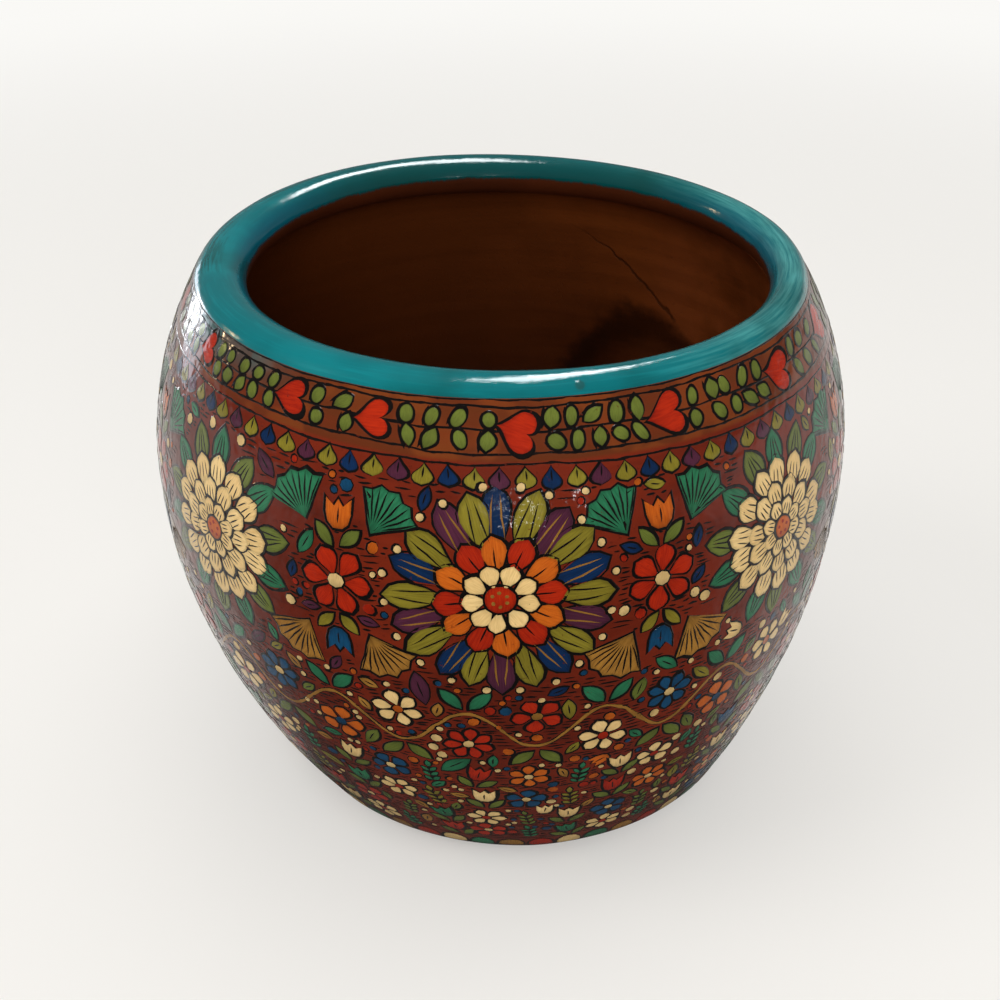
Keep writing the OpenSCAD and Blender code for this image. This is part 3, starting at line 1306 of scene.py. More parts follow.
def painted_tree(pressed: NodeTree) -> NodeTree:
    """Builds the tree that stamps brush marks and lays drawn lines onto the wall.

    Args:
        pressed: The hand-pressed group.

    Returns:
        The Geometry Nodes tree.
    """
    inputs = {
        "Geometry": Socket.SHAPE, "Stamps": Socket.SHELF, "Drawn lines": Socket.OBJECT, "Wall line": Socket.OBJECT,
        "Wall length": 0.2, "Unsteady hand": 0.0, "Finish": Socket.FINISH,
    }
    graph = Graph.group("Paint on the wall", TreeKind.SHAPE, inputs, {"Geometry": Socket.SHAPE})
    shelf = {"Collection": graph.given("Stamps"), "Separate Children": True, "Reset Children": True}
    turn = graph.node("FunctionNodeEulerToRotation", {0: graph.joined(0.0, 0.0, graph.attribute("turn"))})
    stamped = {
        "Points": graph.given("Geometry"), "Instance": graph.node("GeometryNodeCollectionInfo", shelf),
        "Pick Instance": True, "Instance Index": graph.attribute("mark", "INT"), "Rotation": turn,
        "Scale": graph.attribute("size", "FLOAT_VECTOR"),
    }
    dabs = graph.node("GeometryNodeInstanceOnPoints", stamped)
    shape = graph.node("GeometryNodeRealizeInstances", {"Geometry": dabs})
    shape = graph.node("GeometryNodeJoinGeometry", {0: [shape, graph.shape_of("Drawn lines")]})
    x, along, lift = graph.split(graph.node("GeometryNodeInputPosition"))
    ref, unsteady = graph.attribute("ref"), graph.given("Unsteady hand")
    angle = graph.attribute("angle") + x / ref
    around = graph.joined(angle.math("SINE") * ref, angle.math("COSINE") * ref, along)
    shake = graph.node("ShaderNodeTexNoise", {"Vector": around, "Scale": 130.0, "Detail": 2.0}, out="Color")
    shake_x, shake_y, _ = graph.split(shake)
    angle = angle + (shake_x - 0.5) * unsteady / ref
    along = along + (shake_y - 0.5) * unsteady
    flat = graph.joined(angle / TURN * 0.9 + 0.5, along / graph.given("Wall length") * 0.96 + 0.02, 0.0)
    sampled = {"Curves": graph.shape_of("Wall line"), "Length": along}
    spot = graph.node("GeometryNodeSampleCurve", sampled, out="Position", mode="LENGTH", use_all_curves=True)
    radius, _, z = graph.split(spot)
    out_r, _, out_z = graph.split(spot.other("Tangent"))
    place = graph.pressed_place(pressed, radius + lift * out_z, angle, z - lift * out_r)
    shape = graph.store(shape, BAKE_MAP, flat, "FLOAT2", "CORNER")
    return graph.end_shape(graph.node("GeometryNodeSetPosition", {"Geometry": shape, "Position": place}))


@dataclass
class WallPainting:
    """The painted wall: the border of hearts under the rim and the flower bands below it."""

    form: PotForm
    pressed: NodeTree
    seed: int = 11
    level: float = 0.034 * MM
    unsteady: float = 1.6 * MM
    hand_stray: float = 0.03
    hand_slip: float = 0.2 * MM
    crease: float = 16.0
    overlap: float = 0.003
    cell: float = 0.6 * MM
    upper_part: float = 97 * MM
    border_top: float = 2.2 * MM
    border_low: float = 15.6 * MM
    border_slant: float = 2.4 * MM
    border_foot: float = 4.2 * MM
    front_hearts: tuple[float, ...] = (-34.0, -19.5, 2.2, 25.5, 50.3, 70.2)
    heart_count: int = 16
    heart_size: float = 12.4 * MM
    leaf_pitch: float = 7.4 * MM
    round_leaf: Span = (3.8 * MM, 5.7 * MM)
    pointed_leaf: Span = (4.4 * MM, 6.8 * MM)
    pointed_share: float = 0.4
    pendant_count: int = 100
    pendant_drop: float = 7.0 * MM
    pendant_size: Span = (5.8 * MM, 6.2 * MM)
    great_count: int = 8
    great_down: float = 60 * MM
    waist_flower: float = 11.5 * MM
    waist_tulips: Span = (10 * MM, 9.5 * MM)
    waist_tulip_off: float = 22 * MM
    fans: Span = (16 * MM, 17 * MM)
    fans_off: Span = (24.5 * MM, 25 * MM)
    fan_aside: float = 14.5 * MM
    fan_lean: float = 0.5
    vine_down: float = 115 * MM
    vine_sway: float = 8.5 * MM
    vine_waves: int = 18
    vine_widths: Span = (2.6 * MM, 1.3 * MM)
    vine_flower: float = 8.4 * MM
    vine_flower_off: float = 7.2 * MM
    vine_leaf: Span = (4.6 * MM, 10.5 * MM)
    vine_leaf_off: float = 15.0 * MM
    vine_leaf_lean: float = 0.75
    garden_rows: tuple[Span, ...] = ((143.0, 15.5), (160.0, 15.0), (177.0, 14.5), (192.0, 14.0))
    garden_tulip: float = 9.0 * MM
    garden_daisy: float = 7.2 * MM
    garden_sprig: float = 14.5 * MM
    sprig_pairs: int = 3
    heel_rules: Span = (200.5 * MM, 211.5 * MM)
    heel_down: float = 206.4 * MM
    heel_count: int = 56
    scallop: Span = (9.2 * MM, 7.6 * MM)
    filled: Span = (20 * MM, 199 * MM)
    filler_gap: float = 0.9 * MM
    hatch_pitch: float = 1.6 * MM
    hatch_lengths: Span = (3.0, 8.0)
    hatch_least: float = 1.8 * MM
    dabs: dict[tuple[Paint, Layer], list[Dab]] = field(default_factory=dict)
    lines: dict[tuple[Paint, Layer], list[BrushLine]] = field(default_factory=dict)

    def __post_init__(self) -> None:
        """Measures the wall and clears the map of what is painted."""
        self.outside = self.form.outer_line()
        self.lengths = np.concatenate([[0.0], np.cumsum(np.hypot(*np.diff(self.outside, axis=0).T))])
        self.total = float(self.lengths[-1])
        self.rng = np.random.default_rng(self.seed)
        self.rows = int(self.total / self.cell) + 1
        self.columns = int(TURN * self.form.belly_r / self.cell)
        self.taken = np.zeros((self.rows, self.columns), dtype=bool)

    def radius(self, down: Any) -> Any:
        """Gives the outside radius at a distance, or at each of many, down from the rim's edge."""
        return np.interp(self.total - down, self.lengths, self.outside[:, 0])

    # -- single marks

    def dab(self, paint: Paint, mark: Mark, spot: Spot, width: float, length: float, level: float,
            layer: Layer = Layer.COLOUR) -> None:
        """Stamps one brush mark in one of the coats, which are numbered by level."""
        lift = (level + 0.5 * self.rng.random()) * self.level
        self.dabs.setdefault((paint, layer), []).append(Dab(mark, spot, width, length, lift, self.rng.random()))

    def outlined(self, paint: Paint, mark: Mark, spot: Spot, width: float, length: float, level: float = 1.0,
                 line: float = OUTLINE) -> None:
        """Stamps a brush mark with a black outline round it.

        Args:
            paint: The paint.
            mark: The brush mark.
            spot: Where it goes.
            width: Width of the mark.
            length: Length of the mark.
            level: Number of the coat that the colour lies in.
            line: Width of the outline.
        """
        edge = 2.0 * line
        spot = spot.turned(self.rng.normal(0.0, self.hand_stray))
        width *= 1.0 + self.rng.normal(0.0, self.hand_stray)
        length *= 1.0 + self.rng.normal(0.0, self.hand_stray)
        aside, lower = self.rng.normal(0.0, self.hand_slip, 2)
        under = Spot(spot.angle + aside / self.radius(spot.down), spot.down + lower, spot.turn)
        black_width = width + edge * self.rng.uniform(0.85, 1.2)
        black_length = length + edge * self.rng.uniform(0.9, 1.25)
        layer = Layer.BACKING if spot.down < self.upper_part else Layer.LOW_BACKING
        self.dab(Paint.BLACK, mark, under, black_width, black_length, level - 1.0, layer)
        self.dab(paint, mark, spot, width, length, level)
        self.claim(spot, width + edge, length + edge)

    def stroke(self, paint: Paint, spot: Spot, length: float, width: float, level: float) -> None:
        """Draws one short tapered stroke."""
        layer = Layer.DETAIL if paint is Paint.BLACK else Layer.COLOUR
        self.dab(paint, Mark.STROKE, spot, width, length, level, layer)

    def moved(self, spot: Spot, along: float, across: float = 0.0, by: float = 0.0) -> Spot:
        """Moves a spot along its turn.

        Args:
            spot: The start.
            along: Distance along the spot's turn.
            across: Distance to the right of it.
            by: Further turn of the new spot.

        Returns:
            The new spot.
        """
        sine, cosine = math.sin(spot.turn), math.cos(spot.turn)
        angle = spot.angle + (-sine * along + cosine * across) / self.radius(spot.down)
        return Spot(angle, spot.down - (cosine * along + sine * across), spot.turn + by)

    def round_line(self, paint: Paint, angles: np.ndarray, downs: Any, width: float, level: float) -> None:
        """Draws a line round the pot, which meets itself.

        Args:
            paint: The paint.
            angles: Angle of each point.
            downs: Distance of each point down from the rim's edge.
            width: Width of the line.
            level: Number of the coat that it lies in.
        """
        places = pairs(angles, downs)
        places = np.vstack([places, places[0] + (TURN + self.overlap, 0.0)])
        widths = np.abs(width * (1.0 + 0.16 * self.rng.standard_normal(len(places))))
        layer = Layer.DETAIL if paint is Paint.BLACK else Layer.COLOUR
        drawn = BrushLine(np.column_stack([places, widths]), level * self.level, float(self.rng.random()))
        self.lines.setdefault((paint, layer), []).append(drawn)

    # -- what is painted already

    def _cells(self, spot: Spot, width: float, length: float) -> tuple[np.ndarray, np.ndarray]:
        """Finds the cells of the map that an oval covers.

        Args:
            spot: Middle and turn of the oval.
            width: Width of the oval.
            length: Length of the oval.

        Returns:
            Row and column numbers.
        """
        reach = 0.5 * max(width, length)
        step_x = TURN * self.radius(spot.down) / self.columns
        nx, ny = int(reach / step_x) + 1, int(reach / self.cell) + 1
        dx, dy = np.meshgrid(np.arange(-nx, nx + 1) * step_x, np.arange(-ny, ny + 1) * self.cell)
        sine, cosine = math.sin(spot.turn), math.cos(spot.turn)
        across, along = dx * cosine + dy * sine, -dx * sine + dy * cosine
        ys, xs = np.nonzero((across / (0.5 * width)) ** 2 + (along / (0.5 * length)) ** 2 <= 1.0)
        column, row = int((spot.angle / TURN + 0.5) * self.columns), int(spot.down / self.cell)
        return np.clip(row - (ys - ny), 0, self.rows - 1), (column + xs - nx) % self.columns

    def claim(self, spot: Spot, width: float, length: float) -> None:
        """Marks an oval as painted."""
        self.taken[self._cells(spot, width, length)] = True

    def is_free(self, spot: Spot, width: float, length: float) -> bool:
        """Tells whether an oval is still bare."""
        return not self.taken[self._cells(spot, width, length)].any()

    def claim_band(self, top: float, low: float) -> None:
        """Marks a whole band round the pot as painted."""
        self.taken[int(top / self.cell): int(low / self.cell) + 1] = True

    # -- motifs

    def ring(self, spot: Spot, radius: float, count: int, start: float = 0.0) -> Iterator[tuple[int, Spot]]:
        """Goes round a circle on the wall.

        Args:
            spot: Middle of the circle.
            radius: Its radius.
            count: Number of places.
            start: Turn of the first place.

        Yields:
            Number and spot of each place, turned outwards.
        """
        for i in range(count):
            turn = start + TURN * i / count + self.rng.normal(0.0, 0.025)
            yield i, self.moved(spot._replace(turn=turn), radius * (1.0 + self.rng.normal(0.0, 0.015)))

    def great_flower(self, flower: GreatFlower, spot: Spot) -> None:
        """Paints a great flower.

        Args:
            flower: Which flower.
            spot: Its middle.
        """
        size = flower.radius
        self.claim(spot, flower.cleared * size, flower.cleared * size)
        for ring in flower.rings:
            veins = ring.veins
            for i, at in self.ring(spot, ring.reach * size, ring.count, ring.start):
                paint, coat = ring.paints[i % len(ring.paints)], ring.coat + ring.coat_step * (i % 2)
                self.outlined(paint, ring.mark, at, ring.width * size, ring.length * size, coat, ring.line)
                for side in veins.sides:
                    vein = self.moved(at, veins.along * size, side * veins.across * size, side * veins.splay)
                    paint = veins.paints[i % len(veins.paints)]
                    self.stroke(paint, vein, veins.length * size, veins.width, coat + VEIN_COAT)
        heart = flower.heart_size * size
        self.outlined(flower.heart, Mark.ROUND, spot, heart, heart, flower.heart_coat)
        for _, at in self.ring(spot, flower.seed_reach * size, flower.seed_count):
            coat = flower.heart_coat + VEIN_COAT
            self.dab(flower.seed, Mark.DOT, at, flower.seed_size, flower.seed_size, coat)

    def fan_leaf(self, paint: Paint, spot: Spot, size: float) -> None:
        """Paints a ribbed fan leaf.

        Args:
            paint: The paint.
            spot: Its middle and turn.
            size: Its length.
        """
        self.outlined(paint, Mark.FAN, spot, 1.25 * size, size)
        foot = self.moved(spot, -0.46 * size)
        for share in np.linspace(-0.74, 0.74, 9):
            self.stroke(Paint.BLACK, self.moved(foot.turned(-share), 0.56 * size), 0.72 * size, 0.65 * MM, 2.4)

    def small_flower(self, petal: Paint, heart: Paint, spot: Spot, size: float, count: int = 6,
                     level: float = 1.0) -> None:
        """Paints a small round flower.

        Args:
            petal: Paint of the petals.
            heart: Paint of the middle.
            spot: Its middle.
            size: Its radius.
            count: Number of petals.
            level: Number of the coat that the petals lie in.
        """
        for _, at in self.ring(spot, 0.56 * size, count, self.rng.uniform(0.0, TURN)):
            self.outlined(petal, Mark.PETAL, at, 3.3 * size / count, 0.86 * size, level)
        middle = 0.46 * size
        self.outlined(heart, Mark.DOT, Spot(spot.angle, spot.down), middle, middle, level + 2.0, 0.5 * MM)

    def tulip(self, petal: Paint, leaf: Paint, spot: Spot, size: float) -> None:
        """Paints a tulip on a short stem with two leaves.

        Args:
            petal: Paint of the flower.
            leaf: Paint of the leaves.
            spot: Its middle and turn.
            size: Height of the flower.
        """
        for side in BOTH_SIDES:
            at = self.moved(spot, -0.72 * size, side * 0.42 * size, side * -0.75)
            self.outlined(leaf, Mark.LEAF, at, 0.36 * size, 0.9 * size)
        self.outlined(petal, Mark.CUP, spot, 0.86 * size, size, 3.0)
        self.stroke(Paint.BLACK, self.moved(spot, -0.06 * size), 0.55 * size, VEIN, 4.4)

    def sprig(self, paint: Paint, spot: Spot, size: float) -> None:
        """Paints a sprig of paired leaves with one at its tip.

        Args:
            paint: The paint.
            spot: Its foot, turned the way that it grows.
            size: Its length.
        """
        self.stroke(Paint.BLACK, self.moved(spot, 0.45 * size), 0.95 * size, 0.8 * MM, 0.0)
        leaf = 0.9 * size / (self.sprig_pairs + 1)
        for i in range(self.sprig_pairs):
            for side in BOTH_SIDES:
                at = self.moved(spot, (i + 0.5) * leaf, side * 0.42 * leaf, side * -0.8)
                self.outlined(paint, Mark.LEAF, at, 0.5 * leaf, 1.1 * leaf, 1.0, 0.55 * MM)
        tip = self.moved(spot, (self.sprig_pairs + 0.55) * leaf)
        self.outlined(paint, Mark.LEAF, tip, 0.55 * leaf, 1.2 * leaf, 1.0, 0.55 * MM)

    # -- bands

    def lower_rule(self, angle: Any) -> Any:
        """Gives the slanting lower edge of the border."""
        return self.border_low + self.border_slant * np.sin(angle)

    def border_middle(self, angle: Any) -> Any:
        """Gives the middle line of the border."""
        return 0.5 * (self.border_top + self.lower_rule(angle))

    def paint_border(self) -> None:
        """Paints the border of hearts and paired leaves between black rules."""
        angles = np.linspace(-math.pi, math.pi, 300, endpoint=False)
        wobble = 0.25 * MM * np.sin(angles * 7 + 1.0) + 0.2 * MM * np.sin(angles * 17)
        low = self.lower_rule(angles)
        rules = (
            (0.3 * MM, 1.0 * MM, 0.0), (self.border_top + wobble, 1.15 * MM, 0.0), (low + wobble[::-1], 1.15 * MM, 0.0),
            (low + 3.3 * MM - wobble, 1.1 * MM, 0.0), (self.border_middle(angles) + wobble, 1.0 * MM, 0.3),
        )
        for downs, width, level in rules:
            self.round_line(Paint.BLACK, angles, downs, width, level)
        front = np.radians(self.front_hearts)
        behind = np.linspace(front[-1], front[0] + TURN, self.heart_count - len(front) + 2)[1:-1]
        behind += self.rng.normal(0.0, 0.028, len(behind))
        places = np.concatenate([front, behind, front[:1] + TURN])
        for here, there in zip(places[:-1], places[1:]):
            self._border_repeat(float(here), float(there))
        self.claim_band(0.0, self.border_low + self.border_slant + self.border_foot)

    def _border_repeat(self, here: float, there: float) -> None:
        """Paints one heart and the leaves that lead to the next.

        Args:
            here: Angle of this heart.
            there: Angle of the next heart.
        """
        middle = self.border_middle(here)
        tall = (self.lower_rule(here) - self.border_top) / (self.border_low - self.border_top)
        size = self.heart_size * tall
        heart = Spot(here, middle, -math.pi / 2 + self.rng.normal(0.0, 0.14))
        self.outlined(Paint.RED, Mark.HEART, heart, 0.95 * size, 0.93 * size, 2.0, 1.15 * MM)
        radius = self.radius(middle)
        span = (there - here) * radius - size
        count = int(round(span / self.leaf_pitch))
        for i in range(count):
            at = here + (0.62 * size + span * (i + 0.45) / count) / radius
            for side in (1.0, -1.0):
                self._border_leaf(Spot(at, self.border_middle(at)), side, tall)

    def _border_leaf(self, middle: Spot, side: float, tall: float) -> None:
        """Paints one leaf of the border, rounded or pointed, with a black stroke beside it.

        Args:
            middle: Where its pair meets the border's middle line.
            side: 1 above that line, -1 below it.
            tall: Height of the border here, as a share of its mean height.
        """
        lean = side * -0.32 + self.rng.normal(0.0, 0.34)
        slip = self.rng.normal(0.0, 0.5 * MM) - side * 0.5 * MM
        spot = self.moved(middle, side * 3.3 * MM * tall, slip, lean)
        mark, (width, length) = Mark.ROUND, self.round_leaf
        if self.rng.random() < self.pointed_share:
            mark, (width, length) = Mark.LEAF, self.pointed_leaf
        width *= self.rng.uniform(0.85, 1.12)
        length *= tall * self.rng.uniform(0.82, 1.08)
        self.outlined(Paint.LEAF_GREEN, mark, spot, width, length, 1.6, 0.8 * MM)
        shaded = self.moved(spot, -0.4 * MM, -0.5 * width, 0.1)
        self.stroke(Paint.BLACK, shaded, 1.15 * length, 1.5 * MM, 1.0)

    def paint_pendants(self) -> None:
        """Paints the row of petals that hang from the border's lower rule."""
        for i, angle in spread(self.pendant_count):
            spot = Spot(angle, self.lower_rule(angle) + self.pendant_drop, math.pi)
            self.outlined(DEEP_PETALS[i % 4], Mark.PETAL, spot, *self.pendant_size, 0.6, FINE_OUTLINE)
            self.stroke(Paint.BLACK, spot._replace(down=spot.down - 0.6 * MM), 3.4 * MM, VEIN, 2.0)

    def paint_great_flowers(self) -> None:
        """Paints the upper band of great flowers, with fans and small flowers between them."""
        for i, angle in spread(self.great_count):
            self.great_flower((DAHLIA, CHRYSANTHEMUM)[i % 2], Spot(angle, self.great_down))
        for _, angle in spread(self.great_count, 0.5):
            self._between_great_flowers(Spot(angle, self.great_down))

    def _between_great_flowers(self, middle: Spot) -> None:
        """Fills the waist between two great flowers.

        Args:
            middle: Middle of the gap.
        """
        angle, down, _ = middle
        self.small_flower(Paint.RED, Paint.CREAM, middle, self.waist_flower)
        for side in BOTH_SIDES:
            aside, lean = side * self.fan_aside, side * self.fan_lean
            top = self.moved(Spot(angle, down - self.fans_off[0]), 0.0, aside, -lean)
            self.fan_leaf(Paint.TEAL, top, self.fans[0])
            low = self.moved(Spot(angle, down + self.fans_off[1]), 0.0, aside, math.pi + lean)
            self.fan_leaf(Paint.OCHRE, low, self.fans[1])
        top, low = Spot(angle, down - self.waist_tulip_off), Spot(angle, down + self.waist_tulip_off, math.pi)
        self.tulip(Paint.ORANGE, Paint.LEAF_GREEN, top, self.waist_tulips[0])
        self.tulip(Paint.BLUE, Paint.OLIVE, low, self.waist_tulips[1])

    def paint_vine(self) -> None:
        """Paints the middle band: a vine that winds round the pot with flowers in its bends."""
        waves = self.vine_waves
        angles = np.linspace(-math.pi, math.pi, 480, endpoint=False)
        downs = self.vine_down + self.vine_sway * np.sin(waves * angles)
        edge, core = self.vine_widths
        self.round_line(Paint.BLACK, angles, downs, edge, 0.2)
        self.round_line(Paint.OCHRE, angles, downs, core, 1.6)
        for angle, down in zip(angles[::2], downs[::2]):
            self.claim(Spot(angle, down), edge, edge)
        petals = (Paint.RED, Paint.CREAM, Paint.BLUE, Paint.ORANGE, Paint.CREAM, Paint.RED)
        hearts = (Paint.OCHRE, Paint.RED, Paint.CREAM, Paint.BLUE, Paint.ORANGE, Paint.CREAM)
        for i, angle in spread(2 * waves, 0.5):
            side = -1.0 if math.sin(waves * angle) > 0 else 1.0
            spot = Spot(angle, self.vine_down + side * self.vine_flower_off)
            self.small_flower(petals[i % 6], hearts[i % 6], spot, self.vine_flower, 5 + i % 3, 2.0)
            fork = Spot(angle, self.vine_down - side * self.vine_leaf_off)
            for hand in BOTH_SIDES:
                lean = hand * self.vine_leaf_lean
                at = self.moved(fork, 0.0, hand * self.vine_leaf[0], -lean if side > 0 else math.pi + lean)
                self.outlined((Paint.LEAF_GREEN, Paint.TEAL)[i % 2], Mark.LEAF, at, *self.vine_leaf)

    def paint_garden_rows(self) -> None:
        """Paints the lower bands: close rows of tulips, daisies and sprigs."""
        colours = (Paint.RED, Paint.CREAM, Paint.BLUE, Paint.ORANGE, Paint.CREAM, Paint.RED, Paint.TEAL, Paint.CREAM)
        leaves = (Paint.LEAF_GREEN, Paint.OLIVE, Paint.TEAL)
        for row, (down, pitch) in enumerate(self.garden_rows):
            count = int(TURN * self.radius(down * MM) / (pitch * MM))
            for i, even in spread(count, 0.5 * (row % 2)):
                angle = even + self.rng.normal(0.0, 0.008)
                paint = colours[(i * 3 + row * 2) % len(colours)]
                low = down * MM + self.rng.normal(0.0, 0.5 * MM)
                kind = (i + row) % 3
                if kind == 0:
                    spot = Spot(angle, low - 2.0 * MM, self.rng.normal(0.0, 0.12))
                    self.tulip(paint, Paint.LEAF_GREEN, spot, self.garden_tulip)
                elif kind == 1:
                    heart = Paint.RED if paint in (Paint.CREAM, Paint.TEAL) else Paint.CREAM
                    self.small_flower(paint, heart, Spot(angle, low), self.garden_daisy, 5 + i % 2)
                else:
                    spot = Spot(angle, low + 7.0 * MM, self.rng.normal(0.0, 0.15))
                    self.sprig(leaves[i % 3], spot, self.garden_sprig)

    def paint_heel(self) -> None:
        """Paints the scalloped band at the heel."""
        angles = np.linspace(-math.pi, math.pi, 260, endpoint=False)
        for down in self.heel_rules:
            self.round_line(Paint.BLACK, angles, down, 1.0 * MM, 0.2)
        paints = (Paint.OCHRE, Paint.RED, Paint.CREAM, Paint.TEAL)
        for i, angle in spread(self.heel_count):
            self.outlined(paints[i % 4], Mark.SCALLOP, Spot(angle, self.heel_down), *self.scallop)
        self.claim_band(self.heel_rules[0] - 1.0 * MM, self.total)

    def fill_gaps(self) -> None:
        """Fills what is still bare with flowers, buds, leaves and dots, the largest first."""
        for filler in Filler:
            width, length, tries = filler.value[0] * MM, filler.value[1] * MM, filler.value[2]
            for _ in range(tries):
                angle = self.rng.uniform(-math.pi, math.pi)
                spot = Spot(angle, self.rng.uniform(*self.filled), self.rng.uniform(-math.pi, math.pi))
                if self.is_free(spot, width + self.filler_gap, length + self.filler_gap):
                    self._filler(filler, spot, width, length)

    def _filler(self, filler: Filler, spot: Spot, width: float, length: float) -> None:
        """Paints one filler.

        Args:
            filler: What to paint.
            spot: Its middle and turn.
            width: Its width.
            length: Its length.
        """
        leaves = (Paint.OLIVE, Paint.NAVY, Paint.PURPLE, Paint.TEAL)
        if spot.down > self.upper_part:
            leaves = (Paint.LEAF_GREEN, Paint.OLIVE, Paint.TEAL, Paint.OCHRE)
        buds = (Paint.RED, Paint.CREAM, Paint.ORANGE, Paint.CREAM, Paint.BLUE)
        bud = buds[self.rng.integers(len(buds))]
        if filler is Filler.FLOWER:
            self.small_flower(bud, Paint.RED if bud is Paint.CREAM else Paint.CREAM, spot, 0.5 * width, 5)
        elif filler is Filler.BUD:
            self.outlined(bud, Mark.CUP, spot, width, length, 1.0, FINE_OUTLINE)
            self.stroke(Paint.BLACK, spot, 0.6 * length, VEIN, 2.4)
        elif filler in (Filler.BERRY, Filler.DOT):
            self.outlined(bud, Mark.DOT, spot, width, length, 1.0, 0.45 * MM)
        else:
            self.outlined(leaves[self.rng.integers(4)], Mark.LEAF, spot, width, length, 1.0, FINE_OUTLINE)
            self.stroke(Paint.BLACK, spot, 0.55 * length, 0.55 * MM, 2.4)

    def hatch_ground(self) -> None:
        """Hatches the ground that is still bare with fine black strokes in rows."""
        rng = self.rng
        down, low = self.filled[0] + 1.0 * MM, self.filled[1]
        while down < low:
            down += self.hatch_pitch * rng.uniform(0.8, 1.2)
            bare = ~self.taken[int(down / self.cell)]
            edges = np.nonzero(np.diff(np.concatenate([[False], bare, [False]]).astype(np.int8)))[0]
            step = TURN * self.radius(down) / self.columns
            for first, last in edges.reshape(-1, 2):
                here, end = first * step + 0.5 * MM, last * step - 0.5 * MM
                while end - here > self.hatch_least:
                    length = min(end - here, rng.uniform(*self.hatch_lengths) * MM)
                    angle = ((here + 0.5 * length) / step / self.columns - 0.5) * TURN
                    spot = Spot(angle, down + rng.normal(0.0, 0.2 * MM), math.pi / 2 + rng.normal(0.0, 0.06))
                    width = rng.uniform(0.45, 0.85) * MM
                    self.dab(Paint.BLACK, Mark.STROKE, spot, width, length, 0.0, Layer.HATCHING)
                    here += length + rng.uniform(0.5, 2.2) * MM

    # -- pieces

    def build(self) -> list[Object]:
        """Paints every band and makes one piece of each paint.

        Returns:
            The painted pieces.
        """
        self.paint_border()
        self.paint_pendants()
        self.paint_great_flowers()
        self.paint_vine()
        self.paint_garden_rows()
        self.paint_heel()
        self.fill_gaps()
        self.hatch_ground()
        tree = painted_tree(self.pressed)
        stamps = Stamps()
        wall = polyline("wall_line", self.outside)
        finishes = {paint: paint.value.material() for paint in Paint}
        pieces = []
        for paint, layer in sorted(set(self.dabs) | set(self.lines), key=lambda key: (key[0].name, key[1].name)):
            values = {
                "Stamps": stamps.thin if layer in (Layer.BACKING, Layer.LOW_BACKING) else stamps.full,
                "Wall line": wall, "Wall length": self.total,
                "Unsteady hand": self.unsteady, "Finish": finishes[paint],
            }
            drawn = self._line_object(self.lines.get((paint, layer), []))
            if drawn is not None:
                values["Drawn lines"] = drawn
            slot = paint.value.slot
            name = slot if layer is Layer.COLOUR else f"{slot}_{layer.value}"
            points = self._points(self.dabs.get((paint, layer), []))
            pieces.append(grown(name, slot, points, tree, values, self.crease))
            if drawn is not None:
                bpy.data.meshes.remove(drawn.data)
        stamps.clear()
        bpy.data.curves.remove(wall.data)
        return pieces

    def _points(self, dabs: list[Dab]) -> Mesh:
        """Makes the points that the marks of one piece are stamped on.

        Args:
            dabs: The marks.

        Returns:
            A mesh of loose points, with each mark's values as attributes.
        """
        mesh = bpy.data.meshes.new("marks")
        mesh.from_pydata([(0.0, self.total - d.spot.down, d.lift) for d in dabs], [], [])
        add_attribute(mesh, "angle", "FLOAT", [d.spot.angle for d in dabs])
        add_attribute(mesh, "ref", "FLOAT", [self.radius(d.spot.down) for d in dabs])
        add_attribute(mesh, "size", "FLOAT_VECTOR", [(d.width, d.length, 1.0) for d in dabs])
        add_attribute(mesh, "turn", "FLOAT", [d.spot.turn for d in dabs])
        add_attribute(mesh, "mark", "INT", np.array([int(d.mark) for d in dabs], dtype=np.int32))
        add_attribute(mesh, "tone", "FLOAT", [d.tone for d in dabs])
        return mesh

    def _line_object(self, drawn: list[BrushLine]) -> Optional[Object]:
        """Makes the drawn lines of one piece as closed three-sided ribbons on the flat wall.

        Args:
            drawn: The lines.

        Returns:
            An object that isn't linked to the scene, or None where there are no lines.
        """
        if not drawn:
            return None
        sides, heights = np.array([0.5, 0.0, -0.5]), np.array([Stamps.sink, Stamps.crown, Stamps.sink])
        tables, faces, base = [], [], 0
        for one in drawn:
            angle, down, width = one.points.T[:, :, None]
            radius = self.radius(down)
            ends = np.gradient(one.points, axis=0)
            ahead = np.column_stack([ends[:, 0] * radius[:, 0], -ends[:, 1]])
            ahead /= np.linalg.norm(ahead, axis=1, keepdims=True)
            dx, dy = -ahead[:, 1:] * sides * width, ahead[:, :1] * sides * width
            sway = 0.3 * np.sin(np.arange(len(angle)) * 0.7)[:, None]
            columns = (
                0.0, self.total - down + dy, one.lift + heights, angle + dx / radius, radius, one.tone,
                sides * 0.5, sway, 0.5 + np.abs(sides),
            )
            tables.append(np.stack(np.broadcast_arrays(*columns), axis=-1).reshape(-1, len(columns)))
            last = base + 3 * (len(angle) - 1)
            for a in range(base, last, 3):
                b = a + 3
                faces += [(a, a + 1, b + 1, b), (a + 1, a + 2, b + 2, b + 1), (a + 2, a, b, b + 2)]
            faces += [(base, base + 2, base + 1), (last, last + 1, last + 2)]
            base = last + 3
        table = np.concatenate(tables)
        mesh = bpy.data.meshes.new("drawn_lines")
        mesh.from_pydata(table[:, :3].tolist(), [], faces)
        for column, name in enumerate(("angle", "ref", "tone"), 3):
            add_attribute(mesh, name, "FLOAT", table[:, column])
        add_attribute(mesh, "stroke", "FLOAT_VECTOR", table[:, 6:])
        return bpy.data.objects.new("drawn_lines", mesh)


# ---- the stage


class LampUse(Enum):
    """What a lamp is for."""

    SOFT = "lights the surfaces"
    GLINT = "shows in the gloss"


